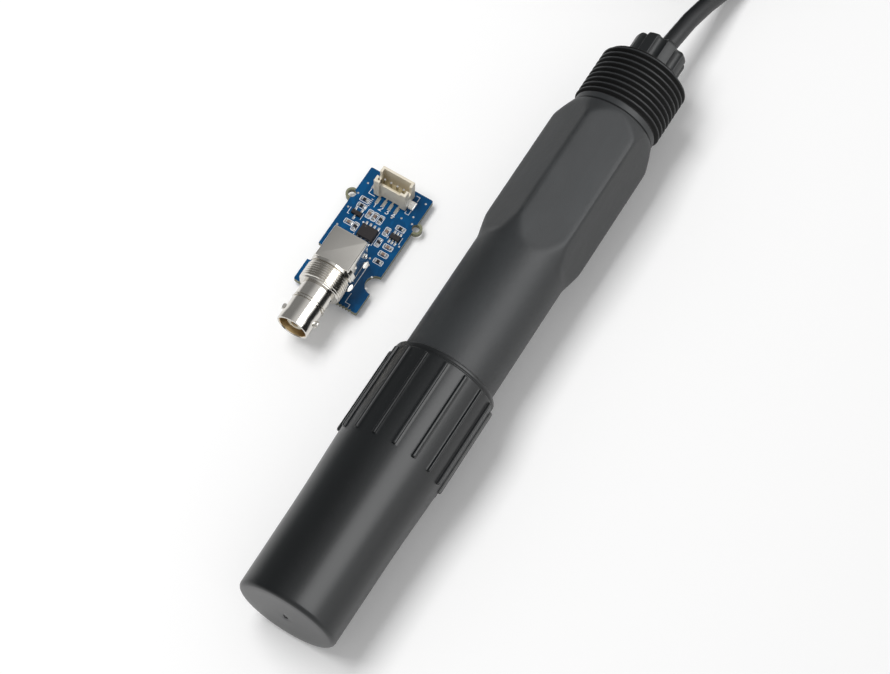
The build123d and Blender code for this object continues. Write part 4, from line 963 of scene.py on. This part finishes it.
def coil_tie(azimuth, width=8.0 * MM, thickness=0.7 * MM):
    """Strap round the coil's section: a rounded box path in the upright plane through the coil's middle,
    given a thickness inwards and carried sideways by its width."""
    inner = COIL_OUTER - COIL_TURNS * CABLE_D - CABLE_D / 2
    outer = COIL_OUTER + CABLE_D / 2
    high = COIL_LAYERS * CABLE_D
    middle = np.array([(inner + outer) / 2, high / 2 + thickness / 2])
    loops = [middle + rounded_box(outer - inner + spread, high + spread - thickness, CABLE_D / 2 + spread / 2)
             for spread in (2 * thickness, 0.0)]
    section = np.stack([loops[0], loops[0], loops[1], loops[1]], axis=1)
    sideways = np.array([-1, 1, 1, -1]) * width / 2
    out = np.array([cos(azimuth), sin(azimuth), 0])
    along = np.array([-sin(azimuth), cos(azimuth), 0])
    points = (np.array([*COIL_CENTRE, 0]) + section[..., :1] * out + section[..., 1:] * np.array([0, 0, 1])
              + sideways[None, :, None] * along)
    return points, quads(len(section), 4, wrap_rows=True)


cable_piece = cable()
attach(cable_piece, "root")
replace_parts(cable_piece, "cable_run", "cable_coil", "cable_tail")
piece("coil_ties", [coil_tie(radians(angle)) for angle in (195, 305)], strap_loops("strap_loops"))


def set_camera():
    """Camera that looks from its place to its target, with the picture's upward direction lying over a line
    on the floor at the given angle from +X."""
    camera = bpy.data.cameras.new("camera")
    camera.lens = CAMERA_LENS
    camera.sensor_width = 36.0
    holder = placed("camera", camera)
    back = (CAMERA_PLACE - CAMERA_TARGET).normalized()
    over = Vector((cos(radians(PICTURE_UP_ANGLE)), sin(radians(PICTURE_UP_ANGLE)), 0.0))
    right = over.cross(back).normalized()
    up = back.cross(right)
    turn = Matrix((right, up, back)).transposed().to_4x4()
    holder.matrix_world = Matrix.Translation(CAMERA_PLACE) @ turn
    bpy.context.scene.camera = holder


def softbox(name, place, target, size, power):
    """Rectangular lamp that faces a target."""
    lamp = bpy.data.lights.new(name, "AREA")
    lamp.shape = "RECTANGLE"
    lamp.size, lamp.size_y = size
    lamp.energy = power
    holder = placed(name, lamp)
    aim = Vector(target) - Vector(place)
    holder.matrix_world = Matrix.Translation(place) @ aim.to_track_quat("-Z", "Y").to_matrix().to_4x4()
    return holder


def studio_floor():
    """White floor that shows white to the camera and through glass, and keeps soft shadows; in reflections it
    is white on the -Y side and fades towards +Y into painted shade, a dim grey."""
    finish = Finish("floor_white")
    seen = finish.rays("Is Camera Ray", "Is Glossy Ray", "Is Transmission Ray")
    # Painted shade: from 0.04 to 0.16 m towards +Y, reflections see the floor turn from white to dim grey.
    dim = finish.axis("Y").step(0.04, 0.16) * finish.rays("Is Glossy Ray")
    white = finish.blend(dim, (0.90, 0.90, 0.90), (0.30, 0.30, 0.30))
    matt = finish.node("ShaderNodeBsdfDiffuse", {}, {"Color": white})
    glow = finish.node("ShaderNodeEmission", {}, {"Color": (1.0, 1.0, 1.0),
            "Strength": seen * (0.12 - dim * 0.08)})
    finish.close(finish.node("ShaderNodeAddShader", {}, {0: matt, 1: glow}))
    half = 3.0
    sheet = bpy.data.meshes.new("floor")
    sheet.from_pydata([(-half, -half, 0), (half, -half, 0), (half, half, 0), (-half, half, 0)], [],
                      [(0, 1, 2, 3)])
    sheet.materials.append(finish.material)
    placed("floor", sheet)


def studio_world():
    """Even grey light; white to the camera; in reflections dim on the board's side, brighter on the other."""
    world = bpy.data.worlds.new("studio")
    world.use_nodes = True
    nodes = Nodes(world.node_tree)
    way = nodes.node("ShaderNodeTexCoord", output="Generated")
    aside = nodes.node("ShaderNodeSeparateXYZ", {}, {0: way}, output="Y")
    mirrored = 0.25 + (1.0 - aside.step(-0.15, 0.60)) * 0.5 + (1.0 - aside.step(-0.95, -0.75)) * 0.5
    camera, glossy = nodes.rays("Is Camera Ray", "Is Transmission Ray"), nodes.rays("Is Glossy Ray")
    strength = 0.42 + (mirrored - 0.42) * glossy
    strength = strength + (1.0 - strength) * camera
    background = nodes.node("ShaderNodeBackground", {}, {"Color": (1.0, 1.0, 1.0), "Strength": strength})
    nodes.node("ShaderNodeOutputWorld", {}, {"Surface": background})
    bpy.context.scene.world = world


set_camera()
studio_floor()
studio_world()
key = softbox("key_softbox", (-0.05, 0.45, 1.11), (0.0, 0.0, 0.0), (0.8, 0.42), 9.7)
key.visible_glossy = False
strip = softbox("strip_softbox", (0.40, -0.62, 0.85), (0.40, 0.0, 0.0), (1.3, 0.8), 11.1)
strip.visible_diffuse = False
bpy.context.scene.view_settings.view_transform = "Standard"
